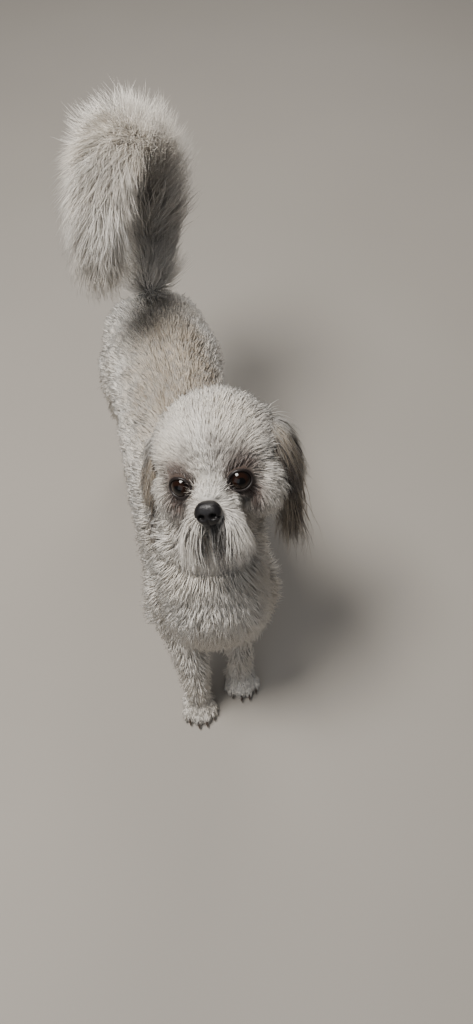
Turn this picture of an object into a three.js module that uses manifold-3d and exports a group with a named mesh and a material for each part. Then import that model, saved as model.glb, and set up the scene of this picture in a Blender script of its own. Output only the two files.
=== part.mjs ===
// Shih tzu at life size, standing on four feet and looking up, tail carried over the back.
// Millimetres, +Z up. The dog faces -Y and its left side is +X. The origin is on the floor
// under the middle of its box.
import * as THREE from 'three';
import { mergeVertices } from 'three/addons/utils/BufferGeometryUtils.js';
import Module from 'manifold-3d';

const wasm = await Module();
wasm.setup();

// Clearance kept wherever two pieces of the body meet, and how much more of it a form's ends get.
const GAP = 0.3;
const END_GROWTH = 1.5;

// Trunk, from rump to breastbone: place along the body, height of the widest level,
// half width, and reach above and below that level.
const TRUNK = [
  { y: 426, level: 208, side: 59, up: 60, down: 46 },
  { y: 396, level: 203, side: 64, up: 70, down: 56 },
  { y: 350, level: 197, side: 69, up: 83, down: 58 },
  { y: 280, level: 191, side: 66, up: 90, down: 68 },
  { y: 205, level: 186, side: 68, up: 96, down: 84 },
  { y: 140, level: 180, side: 67, up: 99, down: 87 },
  { y: 85, level: 174, side: 62, up: 84, down: 78 },
  { y: 38, level: 166, side: 52, up: 58, down: 62 },
  { y: 10, level: 162, side: 36, up: 40, down: 42 },
];

// Neck, from inside the trunk up into the skull: half width, and reach to back and front.
const NECK = [
  { x: 0, y: 104, z: 205, side: 50, up: 50, down: 54 },
  { x: 2, y: 106, z: 232, side: 56, up: 57, down: 59 },
  { x: 7, y: 110, z: 265, side: 55, up: 54, down: 56 },
  { x: 12, y: 113, z: 305, side: 46, up: 44, down: 46 },
];

// Head: middle of the skull, and how far it is raised, turned and tipped.
const HEAD_PLACE = new THREE.Vector3(15.4, 114.6, 326.8);
const HEAD_TURN = THREE.MathUtils.degToRad(-22.4);
const HEAD_RAISE = THREE.MathUtils.degToRad(-30);
const HEAD_TIP = THREE.MathUtils.degToRad(-16);
const SKULL = new THREE.Vector3(57, 55, 51);
const EYE_RADIUS = 11;
const EYE = new THREE.Vector3(23.5, -41, -14);
const LID_THICKNESS = 1.7;
const LID_OPENING = 9.6;
const LIDS_OUTWARD = 0.32;
const NOSE = new THREE.Vector3(0, -71, -29);
const NOSE_SIZE = new THREE.Vector3(11, 7, 9);
const NOSTRIL = new THREE.Vector3(5.2, -78, -30);
const NOSTRIL_SIZE = new THREE.Vector3(2.2, 4, 1.7);
const CHEEK = new THREE.Vector3(34, -16, -27);
const CHEEK_SIZE = new THREE.Vector3(25, 31, 29);
const MUZZLE = new THREE.Vector3(0, -46, -34);
const MUZZLE_SIZE = new THREE.Vector3(26, 27, 20);
const CHIN = new THREE.Vector3(0, -44, -53);
const CHIN_SIZE = new THREE.Vector3(19, 20, 12);
const LIP_DEPTH = 1.3;

// How far each ear stands from the middle of the head, at three levels down to its tip.
const EAR_OUT = { left: [62, 61, 56], right: [65, 68, 70] };

// Lengths of the longer hair, each from its shortest lock to its longest.
const MOUSTACHE_LENGTH = [38, 46];
const BEARD_LENGTH = [36, 43];
const CHEEK_HAIR_LENGTH = [27, 33];
const EAR_HAIR_LENGTHS = [40, 46, 58];
const CHEST_HAIR_LENGTH = [28, 36];
const LEG_HAIR_LENGTH = [26, 32];

// Feet: tip of the middle toes on the floor, and the ankle where the foot begins.
const FOREFOOT = { right: { x: -29, y: 0 }, left: { x: 22, y: 20 } };
const HINDFOOT = { right: { x: -42, y: 338 }, left: { x: 42, y: 346 } };
const FOOT = { length: 46, width: 35, height: 27 };
const ANKLE = 27;

// Tail: the bone's way from the rump, up and over to the right, and the reach of its hair.
const TAIL_WAY = [
  [0, 392, 258], [4, 424, 312], [5, 436, 372], [-6, 420, 418],
  [-27, 384, 428], [-44, 350, 402], [-52, 330, 358],
];
const TAIL_REACH = [40, 54, 60, 58, 54, 46, 32];
const TAIL_CORE = 0.44;
const TAIL_PARTING = 0.42;
const PLUME_ROWS = { base: 3, plume: 5 };
const LOCKS_AROUND_TAIL = 7;

// Locks of hair: how deep a root sits below the surface it grows from.
const ROOT_DEPTH = 5;

const SIDEWAYS = new THREE.Vector3(1, 0, 0);
const UPWARDS = new THREE.Vector3(0, 0, 1);
const WIDER_THAN_DOG = 900;

// A closed solid from a closed geometry, with its faces pointing out.
function solid(geometry) {
  const bare = geometry.clone();
  bare.deleteAttribute('normal');
  bare.deleteAttribute('uv');
  const merged = mergeVertices(bare, 1e-4);
  const places = merged.attributes.position.array;
  const corners = new Uint32Array(merged.index.array);
  if (signedVolume(places, corners) < 0) {
    for (let i = 0; i < corners.length; i += 3) {
      const first = corners[i];
      corners[i] = corners[i + 1];
      corners[i + 1] = first;
    }
  }
  const mesh = new wasm.Mesh({
    numProp: 3,
    vertProperties: new Float32Array(places),
    triVerts: corners,
  });
  return new wasm.Manifold(mesh);
}

function signedVolume(places, corners) {
  const a = new THREE.Vector3();
  const b = new THREE.Vector3();
  const c = new THREE.Vector3();
  let sum = 0;
  for (let i = 0; i < corners.length; i += 3) {
    a.fromArray(places, corners[i] * 3);
    b.fromArray(places, corners[i + 1] * 3);
    c.fromArray(places, corners[i + 2] * 3);
    sum += a.dot(b.cross(c));
  }
  return sum;
}

function join(solids) {
  return solids.reduce((whole, piece) => whole.add(piece));
}

// The largest closed surface of a solid: it fills sealed hollows and drops loose scraps.
function largest(piece) {
  const bodies = piece.decompose();
  bodies.sort((a, b) => b.volume() - a.volume());
  return bodies[0];
}

function geometryOf(piece) {
  const mesh = piece.getMesh();
  const geometry = new THREE.BufferGeometry();
  const places = new Float32Array((mesh.vertProperties.length / mesh.numProp) * 3);
  for (let i = 0; i < places.length / 3; i += 1) {
    for (let k = 0; k < 3; k += 1) {
      places[i * 3 + k] = mesh.vertProperties[i * mesh.numProp + k];
    }
  }
  geometry.setAttribute('position', new THREE.BufferAttribute(places, 3));
  geometry.setIndex(new THREE.BufferAttribute(new Uint32Array(mesh.triVerts), 1));
  geometry.computeVertexNormals();
  return geometry;
}

// A rounded form along a way of stations. Each station has a place, a half width (side),
// and the reach above (up) and below (down) its middle. The ends close as half ellipsoids
// over the shares capA and capB of the length.
function form(stations, shape) {
  const { around, rings, capA, capB, grow = 0, across = SIDEWAYS } = shape;
  const way = new THREE.CatmullRomCurve3(stations.map((s) => new THREE.Vector3(s.x ?? 0, s.y, s.z)));
  const reach = (key) => new THREE.CatmullRomCurve3(
    stations.map((s, i) => new THREE.Vector3(i, s[key], 0)),
  );
  const sides = reach('side');
  const ups = reach('up');
  const downs = reach('down');
  const sphere = new THREE.SphereGeometry(1, around, rings);
  const places = sphere.attributes.position;
  const at = new THREE.Vector3();
  const tangent = new THREE.Vector3();
  const side = new THREE.Vector3();
  const up = new THREE.Vector3();
  for (let i = 0; i < places.count; i += 1) {
    at.fromBufferAttribute(places, i);
    const u = (1 - at.y) / 2;
    const turn = Math.atan2(at.z, at.x);
    const rim = Math.hypot(at.x, at.z) > 1e-6 ? 1 : 0;
    let shrink = rim;
    if (u < capA) shrink *= Math.sqrt(Math.max(0, 1 - (1 - u / capA) ** 2));
    if (u > 1 - capB) shrink *= Math.sqrt(Math.max(0, 1 - (1 - (1 - u) / capB) ** 2));
    way.getPoint(u, at);
    way.getTangent(u, tangent);
    side.copy(across).addScaledVector(tangent, -across.dot(tangent)).normalize();
    up.crossVectors(tangent, side);
    const sine = Math.sin(turn);
    const tall = (sine > 0 ? ups : downs).getPoint(u).y + grow;
    const wide = sides.getPoint(u).y + grow;
    at.addScaledVector(side, wide * shrink * Math.cos(turn));
    at.addScaledVector(up, tall * shrink * sine);
    at.addScaledVector(tangent, grow * END_GROWTH * (2 * u - 1));
    places.setXYZ(i, at.x, at.y, at.z);
  }
  return solid(sphere);
}

// A ball with three half axes, at a place.
function ball(place, size, around = 14, rings = 9, grow = 0) {
  const sphere = new THREE.SphereGeometry(1, around, rings);
  sphere.scale(size.x + grow, size.y + grow, size.z + grow);
  sphere.translate(place.x, place.y, place.z);
  return solid(sphere);
}

// A large block with one flat face through a place, filling the side that the face looks
// away from.
function blockBehind(place, outward) {
  const block = new THREE.BoxGeometry(WIDER_THAN_DOG, WIDER_THAN_DOG, WIDER_THAN_DOG);
  block.translate(0, 0, -WIDER_THAN_DOG / 2);
  const turn = new THREE.Quaternion();
  turn.setFromUnitVectors(UPWARDS, outward.clone().normalize());
  block.applyQuaternion(turn);
  block.translate(place.x, place.y, place.z);
  return solid(block);
}

function tube(points, radius, steps, sides = 6) {
  const outline = new THREE.Shape();
  outline.absarc(0, 0, radius, 0, 2 * Math.PI, false);
  const geometry = new THREE.ExtrudeGeometry(outline, {
    steps,
    curveSegments: sides,
    extrudePath: new THREE.CatmullRomCurve3(points),
  });
  return solid(geometry);
}

const v = (x, y, z) => new THREE.Vector3(x, y, z);

const headMatrix = new THREE.Matrix4()
  .makeTranslation(HEAD_PLACE)
  .multiply(new THREE.Matrix4().makeRotationZ(HEAD_TURN))
  .multiply(new THREE.Matrix4().makeRotationX(HEAD_RAISE))
  .multiply(new THREE.Matrix4().makeRotationY(HEAD_TIP));

// Carries a solid made round the middle of the skull to its place on the raised head.
function onHead(piece) {
  return piece.transform(headMatrix.elements);
}

// Repeatable draws, so that the hair falls the same way each time.
function draws(seed) {
  let state = seed;
  return (low, high) => {
    state = (state * 1664525 + 1013904223) % 4294967296;
    return low + (high - low) * (state / 4294967296);
  };
}

// A flat tapered lock: it leaves its root along out, bends over towards fall, and ends in a tip.
// Its outer face has a ridge.
function lock(root, out, fall, { length, width, thick, steps = 3 }) {
  const leave = out.clone().normalize();
  const end = fall.clone().normalize();
  const way = new THREE.QuadraticBezierCurve3(
    root.clone().addScaledVector(leave, -ROOT_DEPTH),
    root.clone().addScaledVector(leave, length * 0.45),
    root.clone().addScaledVector(leave, length * 0.45).addScaledVector(end, length * 0.55),
  );
  const cone = new THREE.ConeGeometry(1, 1, 3, steps);
  const points = cone.attributes.position;
  const across = new THREE.Vector3().crossVectors(leave, end);
  if (across.length() < 0.05) across.set(leave.y, -leave.x, 0.1);
  across.normalize();
  const at = new THREE.Vector3();
  const tangent = new THREE.Vector3();
  const outer = new THREE.Vector3();
  for (let i = 0; i < points.count; i += 1) {
    const t = points.getY(i) + 0.5;
    const taper = Math.max(1 - t, 1e-6);
    const x = points.getX(i) / taper;
    const z = points.getZ(i) / taper;
    const narrow = t > 0.999 ? 0 : Math.sqrt(1 - t) * (0.8 + 0.5 * t);
    way.getPoint(t, at);
    way.getTangent(t, tangent);
    outer.crossVectors(across, tangent).normalize();
    at.addScaledVector(across, (x * narrow * width) / 2);
    at.addScaledVector(outer, (z * narrow * thick) / 2);
    points.setXYZ(i, at.x, at.y, at.z);
  }
  return solid(cone);
}

// Trunk and neck.
function trunkForm(grow = 0) {
  const stations = TRUNK.map((s) => ({ x: 0, y: s.y, z: s.level, side: s.side, up: s.up, down: s.down }));
  return form(stations, { around: 18, rings: 15, capA: 0.08, capB: 0.07, grow });
}

function neckForm(grow = 0) {
  return form(NECK, { around: 18, rings: 7, capA: 0.25, capB: 0.2, grow });
}

// Skull, cheeks, muzzle and chin, in the head's own frame, facing -Y.
function headForm(grow = 0) {
  const cheek = (left) => ball(v(CHEEK.x * left, CHEEK.y, CHEEK.z), CHEEK_SIZE, 12, 8, grow);
  return join([
    ball(v(0, 0, 0), SKULL, 20, 13, grow),
    cheek(1),
    cheek(-1),
    ball(MUZZLE, MUZZLE_SIZE, 12, 8, grow),
    ball(CHIN, CHIN_SIZE, 10, 6, grow),
  ]);
}

const eyePlace = (left) => v(EYE.x * left, EYE.y, EYE.z);

// Lids: a shell round each eye with an almond opening that looks out and a little to the side.
function lids(left) {
  const shell = EYE_RADIUS + LID_THICKNESS;
  return ball(eyePlace(left), v(shell, shell, shell), 12, 8);
}

function lidOpening(left) {
  const outline = new THREE.Shape();
  outline.moveTo(-LID_OPENING, -1);
  outline.quadraticCurveTo(-4, 9.5, 2, 8.6);
  outline.quadraticCurveTo(8, 7, LID_OPENING, 0);
  outline.quadraticCurveTo(5, -8.2, 0, -8.2);
  outline.quadraticCurveTo(-6, -7.6, -LID_OPENING, -1);
  const cut = new THREE.ExtrudeGeometry(outline, {
    depth: 2 * EYE_RADIUS,
    bevelEnabled: false,
    curveSegments: 3,
  });
  cut.scale(left, 1, 1);
  cut.rotateX(Math.PI / 2);
  cut.rotateZ(left * LIDS_OUTWARD);
  const place = eyePlace(left);
  cut.translate(place.x, place.y, place.z);
  return solid(cut);
}

// Lip line: from under the nose down the groove, then out and back under each cheek.
function mouthCut() {
  const groove = tube([v(0, -74, -38), v(0, -73.5, -42), v(0, -71.5, -47)], LIP_DEPTH, 2, 4);
  const side = (left) => tube(
    [v(0, -71.5, -47), v(7 * left, -69, -49.5), v(15 * left, -61, -50), v(21 * left, -48, -47)],
    LIP_DEPTH,
    5,
    4,
  );
  return join([groove, side(1), side(-1)]);
}

// Moustache: locks that leave the side of the muzzle and fall beside the lips.
function moustache(left) {
  const draw = draws(left > 0 ? 21 : 22);
  const locks = [];
  for (let row = 0; row < 2; row += 1) {
    for (let i = 0; i < 4; i += 1) {
      const root = v(left * (11 + 4.5 * i), -67 + 4.5 * i + draw(-1, 1), -33 - 7 * row + draw(-1, 1));
      const out = v(left * (0.5 + 0.25 * i), -0.9 + 0.2 * i, -0.1 - 0.2 * row);
      const fall = v(left * draw(0.02, 0.2), draw(-0.05, 0.2), -1);
      const length = draw(...MOUSTACHE_LENGTH);
      locks.push(lock(root, out, fall, { length, width: draw(12, 15), thick: 6 }));
    }
  }
  return join(locks);
}

// Beard: locks that hang from the chin.
function beard() {
  const draw = draws(31);
  const locks = [];
  for (let i = 0; i < 7; i += 1) {
    const place = (i - 3) / 3;
    const root = v(place * 13, -56 + Math.abs(place) * 8, -56);
    const out = v(place * 0.5, -0.55, -0.8);
    const fall = v(place * 0.15, -0.05, -1);
    const length = draw(...BEARD_LENGTH) - Math.abs(place) * 4;
    locks.push(lock(root, out, fall, { length, width: draw(10, 12), thick: 5 }));
  }
  return join(locks);
}

// Cheek hair: locks that lie back over the jaw.
function cheekHair(left) {
  const draw = draws(left > 0 ? 41 : 42);
  const locks = [];
  for (let i = 0; i < 5; i += 1) {
    const root = v(left * (38 + 3 * i), -38 + 8 * i, -32 - 3 * i);
    const out = v(left * 0.6, -0.25 + 0.1 * i, -0.5);
    const fall = v(left * draw(0.05, 0.2), draw(0.1, 0.3), -1);
    locks.push(lock(root, out, fall, {
      length: draw(...CHEEK_HAIR_LENGTH),
      width: draw(14, 17),
      thick: 5,
    }));
  }
  return join(locks);
}

function nosePad(grow = 0) {
  return ball(NOSE, NOSE_SIZE, 14, 9, grow);
}

function nostrils() {
  const hole = (left) => ball(v(NOSTRIL.x * left, NOSTRIL.y, NOSTRIL.z), NOSTRIL_SIZE, 7, 5);
  return join([hole(1), hole(-1)]);
}

function eyeball(left, grow = 0) {
  const size = EYE_RADIUS + grow;
  return ball(eyePlace(left), v(size, size, size), 14, 9);
}

// Ear: a leather that leaves the skull behind the temple and hangs beside the cheek. As the
// head is tipped to the right, the left ear rests on its cheek and the right one hangs free.
function earForm(left, grow = 0) {
  const across = v(0.25 * left, 1, 0).normalize();
  const out = left > 0 ? EAR_OUT.left : EAR_OUT.right;
  return form([
    { x: 44 * left, y: 4, z: 24, side: 13, up: 3, down: 3 },
    { x: 57 * left, y: 5, z: 14, side: 19, up: 3, down: 3 },
    { x: out[0] * left, y: 6, z: -10, side: 23, up: 3, down: 3 },
    { x: out[1] * left, y: 10, z: -34, side: 20, up: 3, down: 3 },
    { x: out[2] * left, y: 16, z: -56, side: 9, up: 2, down: 2 },
  ], { around: 12, rings: 9, capA: 0.12, capB: 0.3, grow, across });
}

// Hair of the ear: overlapping rows of locks down the outside of the leather and past its edge.
function earHair(left) {
  const draw = draws(left > 0 ? 51 : 52);
  const locks = [];
  for (let row = 0; row < 3; row += 1) {
    const count = 4;
    for (let i = 0; i < count; i += 1) {
      const place = (i - (count - 1) / 2 + 0.25 * (row - 1)) / 2;
      const z = 4 - 22 * row;
      const half = [19, 21, 16][row];
      const outside = (left > 0 ? EAR_OUT.left : EAR_OUT.right)[0] - 3;
      const hang = left > 0 ? 0 : 3;
      const root = v(left * (outside + hang * row + draw(-0.5, 0.5)), 5 + place * half + 3 * row, z);
      const out = v(left * 0.6, place * 0.5, -0.8);
      const fall = v(draw(-0.35, -0.15), place * draw(0.05, 0.3) + 0.25, -1);
      const length = EAR_HAIR_LENGTHS[row] + draw(-4, 4);
      locks.push(lock(root, out, fall, { length, width: draw(15, 19), thick: 5 }));
    }
  }
  return join(locks);
}

// Legs, from the ankle up into the trunk.
function foreleg(left, grow = 0) {
  const foot = left > 0 ? FOREFOOT.left : FOREFOOT.right;
  const lean = foot.y + FOOT.length * 0.55;
  return form([
    { x: foot.x, y: lean, z: 8, side: 14, up: 13, down: 14 },
    { x: foot.x, y: lean + 3, z: 42, side: 14.5, up: 14.5, down: 14.5 },
    { x: foot.x * 0.8 + 7 * left, y: lean + 16, z: 78, side: 16.5, up: 17, down: 17 },
    { x: 35 * left, y: 66, z: 118, side: 20, up: 24, down: 21 },
    { x: 38 * left, y: 82, z: 160, side: 25, up: 32, down: 28 },
    { x: 38 * left, y: 92, z: 200, side: 22, up: 30, down: 26 },
  ], { around: 12, rings: 12, capA: 0.06, capB: 0.16, grow });
}

function hindleg(left, grow = 0) {
  const foot = left > 0 ? HINDFOOT.left : HINDFOOT.right;
  const heel = foot.y + FOOT.length * 0.6;
  return form([
    { x: foot.x, y: heel, z: 8, side: 13.5, up: 13, down: 14 },
    { x: foot.x, y: heel + 8, z: 40, side: 13.5, up: 13, down: 13 },
    { x: foot.x, y: heel + 14, z: 68, side: 14.5, up: 15, down: 15 },
    { x: 42 * left, y: heel + 2, z: 100, side: 18, up: 22, down: 20 },
    { x: 42 * left, y: 362, z: 140, side: 24, up: 36, down: 34 },
    { x: 41 * left, y: 362, z: 185, side: 28, up: 44, down: 44 },
    { x: 38 * left, y: 368, z: 222, side: 24, up: 36, down: 40 },
  ], { around: 12, rings: 13, capA: 0.06, capB: 0.14, grow });
}

// Toes: four to a foot, the middle two reaching further forward.
const TOES = [-1.5, -0.5, 0.5, 1.5];

function toePlace(foot, toe) {
  const spread = FOOT.width * 0.25;
  return v(foot.x + toe * spread, foot.y + 9 + (Math.abs(toe) > 1 ? 6 : 0), 8.5);
}

function footForm(foot, grow = 0) {
  const middle = v(foot.x, foot.y + FOOT.length * 0.55, 11);
  const pad = ball(middle, v(FOOT.width / 2, FOOT.length * 0.42, FOOT.height * 0.6), 10, 5, grow);
  const toes = TOES.map((toe) => ball(toePlace(foot, toe), v(5.6, 10, 9.5), 7, 4, grow));
  return join([pad, ...toes]);
}

function claw(foot, toe) {
  const root = toePlace(foot, toe);
  const cone = new THREE.ConeGeometry(2, 9, 5, 2);
  cone.scale(0.8, 1, 1.1);
  cone.rotateX(Math.PI / 2 + Math.PI * 0.88);
  const points = cone.attributes.position;
  for (let i = 0; i < points.count; i += 1) {
    const ahead = Math.max(0, -points.getY(i));
    points.setZ(i, points.getZ(i) - ahead * ahead * 0.03);
  }
  cone.translate(root.x, root.y - 9, root.z - 3);
  return solid(cone);
}

// Tail: a core of bone, flesh and under-hair, from share a to share b of its way.
function tailForm(grow = 0) {
  const stations = TAIL_WAY.map(([x, y, z], i) => {
    const reach = TAIL_REACH[i] * TAIL_CORE;
    return { x, y, z, side: reach * 0.95, up: reach, down: reach * 0.8 };
  });
  return form(stations, { around: 12, rings: 12, capA: 0.06, capB: 0.2, grow });
}

// The plume: locks all round the tail that lean towards its tip, and hang where they can.
function plume(from, to, rows, seed) {
  const draw = draws(seed);
  const way = new THREE.CatmullRomCurve3(TAIL_WAY.map((p) => v(...p)));
  const reaches = new THREE.CatmullRomCurve3(TAIL_REACH.map((r, i) => v(i, r, 0)));
  const locks = [];
  for (let row = 0; row < rows; row += 1) {
    const u = from + ((to - from) * (row + 0.5)) / rows;
    const at = way.getPoint(u);
    const onward = way.getTangent(u);
    const side = SIDEWAYS.clone().addScaledVector(onward, -onward.x).normalize();
    const over = new THREE.Vector3().crossVectors(onward, side);
    const reach = reaches.getPoint(u).y;
    for (let i = 0; i < LOCKS_AROUND_TAIL; i += 1) {
      const share = (i + 0.5 * (row % 2)) / LOCKS_AROUND_TAIL;
      const turn = share * 2 * Math.PI + draw(-0.2, 0.2);
      const radial = side.clone().multiplyScalar(Math.cos(turn));
      radial.addScaledVector(over, Math.sin(turn));
      const root = at.clone().addScaledVector(radial, reach * TAIL_CORE * 0.72);
      const out = radial.clone().multiplyScalar(0.62).addScaledVector(onward, 0.8);
      const fall = onward.clone().addScaledVector(radial, 0.5).add(v(0, 0, -0.5));
      const length = (reach * 0.76 + 13) * draw(0.9, 1.1);
      locks.push(lock(root, out, fall, { length, width: draw(27, 34), thick: 8, steps: 3 }));
    }
  }
  return join(locks);
}

// Coat of the chest and shoulders: locks that lie down and back over the breast.
function chestHair() {
  const draw = draws(61);
  const locks = [];
  for (let row = 0; row < 4; row += 1) {
    const count = 4 + (row % 2);
    for (let i = 0; i < count; i += 1) {
      const turn = ((i - (count - 1) / 2) / 2.2) * 1.15;
      const z = 204 - 24 * row;
      const reach = [43, 46, 44, 38][row];
      const root = v(Math.sin(turn) * reach * 1.05, 44 - Math.cos(turn) * (reach - 8), z + draw(-3, 3));
      const out = v(Math.sin(turn) * 0.9, -Math.cos(turn) * 0.9, -0.7);
      const fall = v(Math.sin(turn) * 0.1, 0.2, -1);
      locks.push(lock(root, out, fall, {
        length: draw(...CHEST_HAIR_LENGTH),
        width: draw(18, 23),
        thick: 6,
      }));
    }
  }
  return join(locks);
}

// Coat behind each foreleg and thigh: locks that hang from the back of the leg.
function legHair(leg, left) {
  const draw = draws(leg === 'fore' ? 71 + left : 81 + left);
  const locks = [];
  const tops = leg === 'fore'
    ? [v(37 * left, 106, 152), v(36 * left, 92, 128), v(33 * left, 78, 104), v(44 * left, 98, 140)]
    : [v(46 * left, 402, 176), v(44 * left, 396, 150), v(44 * left, 392, 126), v(56 * left, 388, 160)];
  for (const root of tops) {
    const out = v(0.35 * left, 0.75, -0.7);
    const fall = v(0.05 * left, draw(0, 0.15), -1);
    locks.push(lock(root, out, fall, {
      length: draw(...LEG_HAIR_LENGTH),
      width: draw(15, 19),
      thick: 6,
    }));
  }
  return join(locks);
}

// Colours by what covers each piece.
const WHITE_COAT = { color: 0xd9d4cc, roughness: 0.9, metalness: 0 };
const GREY_COAT = { color: 0x8d857c, roughness: 0.9, metalness: 0 };
const NOSE_LEATHER = { color: 0x1c1a1b, roughness: 0.45, metalness: 0 };
const EYE_GLASS = { color: 0x120c0a, roughness: 0.08, metalness: 0 };
const CLAW_HORN = { color: 0x3a322c, roughness: 0.4, metalness: 0 };

const dog = new THREE.Group();

function place(name, piece, finish) {
  const mesh = new THREE.Mesh(geometryOf(largest(piece)), new THREE.MeshStandardMaterial(finish));
  mesh.name = name;
  dog.add(mesh);
}

const sideName = (left) => (left > 0 ? 'left' : 'right');
const floorBlock = blockBehind(v(0, 0, 0), v(0, 0, 1));

function buildHead() {
  const lidded = headForm().add(lids(1)).add(lids(-1));
  const neck = neckForm(GAP).add(trunkForm(GAP)).transform(headMatrix.clone().invert().elements);
  const hair = join([moustache(1), moustache(-1), beard(), cheekHair(1), cheekHair(-1)]);
  let head = lidded.subtract(mouthCut()).add(hair.subtract(neck));
  for (const left of [1, -1]) {
    head = head.subtract(eyeball(left, GAP)).subtract(lidOpening(left));
    head = head.subtract(earForm(left, GAP));
    place(`eye_${sideName(left)}`, onHead(eyeball(left)), EYE_GLASS);
    const hanging = earHair(left).subtract(headForm(GAP)).subtract(cheekHair(left)).subtract(neck);
    place(`ear_${sideName(left)}`, onHead(earForm(left).add(hanging)), GREY_COAT);
  }
  head = head.subtract(nosePad(GAP));
  place('nose', onHead(nosePad().subtract(nostrils())), NOSE_LEATHER);
  place('head', onHead(head), WHITE_COAT);
}

const footOf = (leg, left) => (leg === 'fore' ? FOREFOOT : HINDFOOT)[sideName(left)];
const legForm = (leg, left, grow = 0) => (leg === 'fore' ? foreleg : hindleg)(left, grow);
const LEGS = [['fore', 1], ['fore', -1], ['hind', 1], ['hind', -1]];

function buildTrunk() {
  const headGrown = onHead(headForm(GAP).add(beard()).add(moustache(1)).add(moustache(-1)));
  const ears = join([1, -1].map((left) => onHead(earForm(left, GAP).add(earHair(left)))));
  const legs = join(LEGS.map(([leg, left]) => legForm(leg, left, GAP)));
  const aboveTorso = headGrown.add(ears).add(legs);
  place('neck', neckForm().subtract(aboveTorso), WHITE_COAT);
  const breast = chestHair().subtract(aboveTorso);
  const trunk = trunkForm().add(breast).subtract(neckForm(GAP)).subtract(aboveTorso);
  place('torso', trunk.subtract(tailForm(GAP)), WHITE_COAT);
}

function buildLeg(leg, left) {
  const foot = footOf(leg, left);
  const name = `${leg}leg_${sideName(left)}`;
  const form = legForm(leg, left);
  const below = blockBehind(v(0, 0, ANKLE), v(0, 0, 1));
  const belowWithGap = blockBehind(v(0, 0, ANKLE + GAP), v(0, 0, 1));
  const paw = join([form, footForm(foot)]).intersect(below).subtract(floorBlock);
  const hair = legHair(leg, left).subtract(trunkForm(GAP));
  place(name, form.add(hair).subtract(belowWithGap), WHITE_COAT);
  place(name.replace('leg', 'paw'), paw, WHITE_COAT);
  TOES.forEach((toe, i) => {
    const nail = claw(foot, toe).subtract(footForm(foot, GAP)).subtract(floorBlock);
    place(`claw_${leg}_${sideName(left)}_${i + 1}`, nail, CLAW_HORN);
  });
}

function buildTail() {
  const way = new THREE.CatmullRomCurve3(TAIL_WAY.map((p) => v(...p)));
  const at = way.getPoint(TAIL_PARTING);
  const onward = way.getTangent(TAIL_PARTING);
  const before = blockBehind(at, onward);
  const beforeWithGap = blockBehind(at.clone().addScaledVector(onward, GAP), onward);
  const core = tailForm();
  const body = trunkForm(GAP);
  const first = plume(0.1, TAIL_PARTING, PLUME_ROWS.base, 91).subtract(body).intersect(before);
  const second = plume(TAIL_PARTING, 0.97, PLUME_ROWS.plume, 92).subtract(body).subtract(beforeWithGap);
  place('tail_base', core.intersect(before).add(first), WHITE_COAT);
  place('tail_plume', core.subtract(beforeWithGap).add(second), WHITE_COAT);
}

buildHead();
buildTrunk();
for (const [leg, left] of LEGS) buildLeg(leg, left);
buildTail();

// The origin goes to the floor, under the middle of the whole dog's box.
dog.updateMatrixWorld(true);
const box = new THREE.Box3().setFromObject(dog, true);
dog.position.set(-(box.min.x + box.max.x) / 2, -(box.min.y + box.max.y) / 2, -box.min.z);
dog.updateMatrixWorld(true);

export default dog;
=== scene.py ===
import math
import bpy
import numpy as np
from mathutils import Euler, Matrix, Vector
from mathutils.kdtree import KDTree


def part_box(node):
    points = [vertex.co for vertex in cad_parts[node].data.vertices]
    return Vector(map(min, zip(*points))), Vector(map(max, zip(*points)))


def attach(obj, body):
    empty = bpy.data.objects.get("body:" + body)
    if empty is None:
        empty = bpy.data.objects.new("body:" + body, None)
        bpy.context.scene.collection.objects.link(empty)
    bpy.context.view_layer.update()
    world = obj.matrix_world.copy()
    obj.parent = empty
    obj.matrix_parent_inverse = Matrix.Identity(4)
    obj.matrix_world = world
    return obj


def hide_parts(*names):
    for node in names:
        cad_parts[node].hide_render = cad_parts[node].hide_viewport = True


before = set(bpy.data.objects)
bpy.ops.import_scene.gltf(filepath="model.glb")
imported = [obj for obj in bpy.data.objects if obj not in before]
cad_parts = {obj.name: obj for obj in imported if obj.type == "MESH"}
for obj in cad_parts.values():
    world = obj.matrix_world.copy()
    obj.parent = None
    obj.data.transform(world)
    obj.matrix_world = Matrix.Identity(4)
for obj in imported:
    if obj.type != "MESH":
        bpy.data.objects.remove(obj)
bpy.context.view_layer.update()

# Skin
# The hide of the whole dog in one piece: trunk, neck, head, legs, feet and tail.
# It is pale, soft and slightly loose, and lies under the coat by the coat's depth.
# Forms are modelled one by one, joined and remeshed, so that no seam shows.

TRUNK = [  # y, level, half width, reach above, reach below, in millimetres
    (426, 208, 59, 60, 46), (396, 203, 64, 70, 56), (350, 197, 69, 83, 58), (280, 191, 66, 90, 68),
    (205, 186, 68, 96, 84), (140, 180, 67, 99, 87), (85, 174, 62, 84, 78), (38, 166, 52, 58, 62),
    (10, 162, 36, 40, 42),
]
NECK = [  # x, y, z, half width, reach to the back, reach to the front
    (0, 104, 205, 50, 50, 54), (2, 106, 232, 56, 57, 59),
    (7, 110, 265, 55, 54, 56), (12, 113, 305, 46, 44, 46),
]
HEAD_PLACE = np.array([15.4, 114.6, 326.8])
HEAD_TURN, HEAD_RAISE, HEAD_TIP = np.radians([-22.4, -30.0, -16.0])
EYE_RADIUS = 11.0
EYE = np.array([23.5, -41.0, -14.0])
EYE_OUTWARD = 0.32
SIDE = {1: "left", -1: "right"}
FOREFOOT = {1: (22, 20), -1: (-29, 0)}
HINDFOOT = {1: (42, 346), -1: (-42, 338)}
FOOT_LENGTH, FOOT_WIDTH, FOOT_HEIGHT = 46, 35, 27
TOES = (-1.5, -0.5, 0.5, 1.5)
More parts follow.
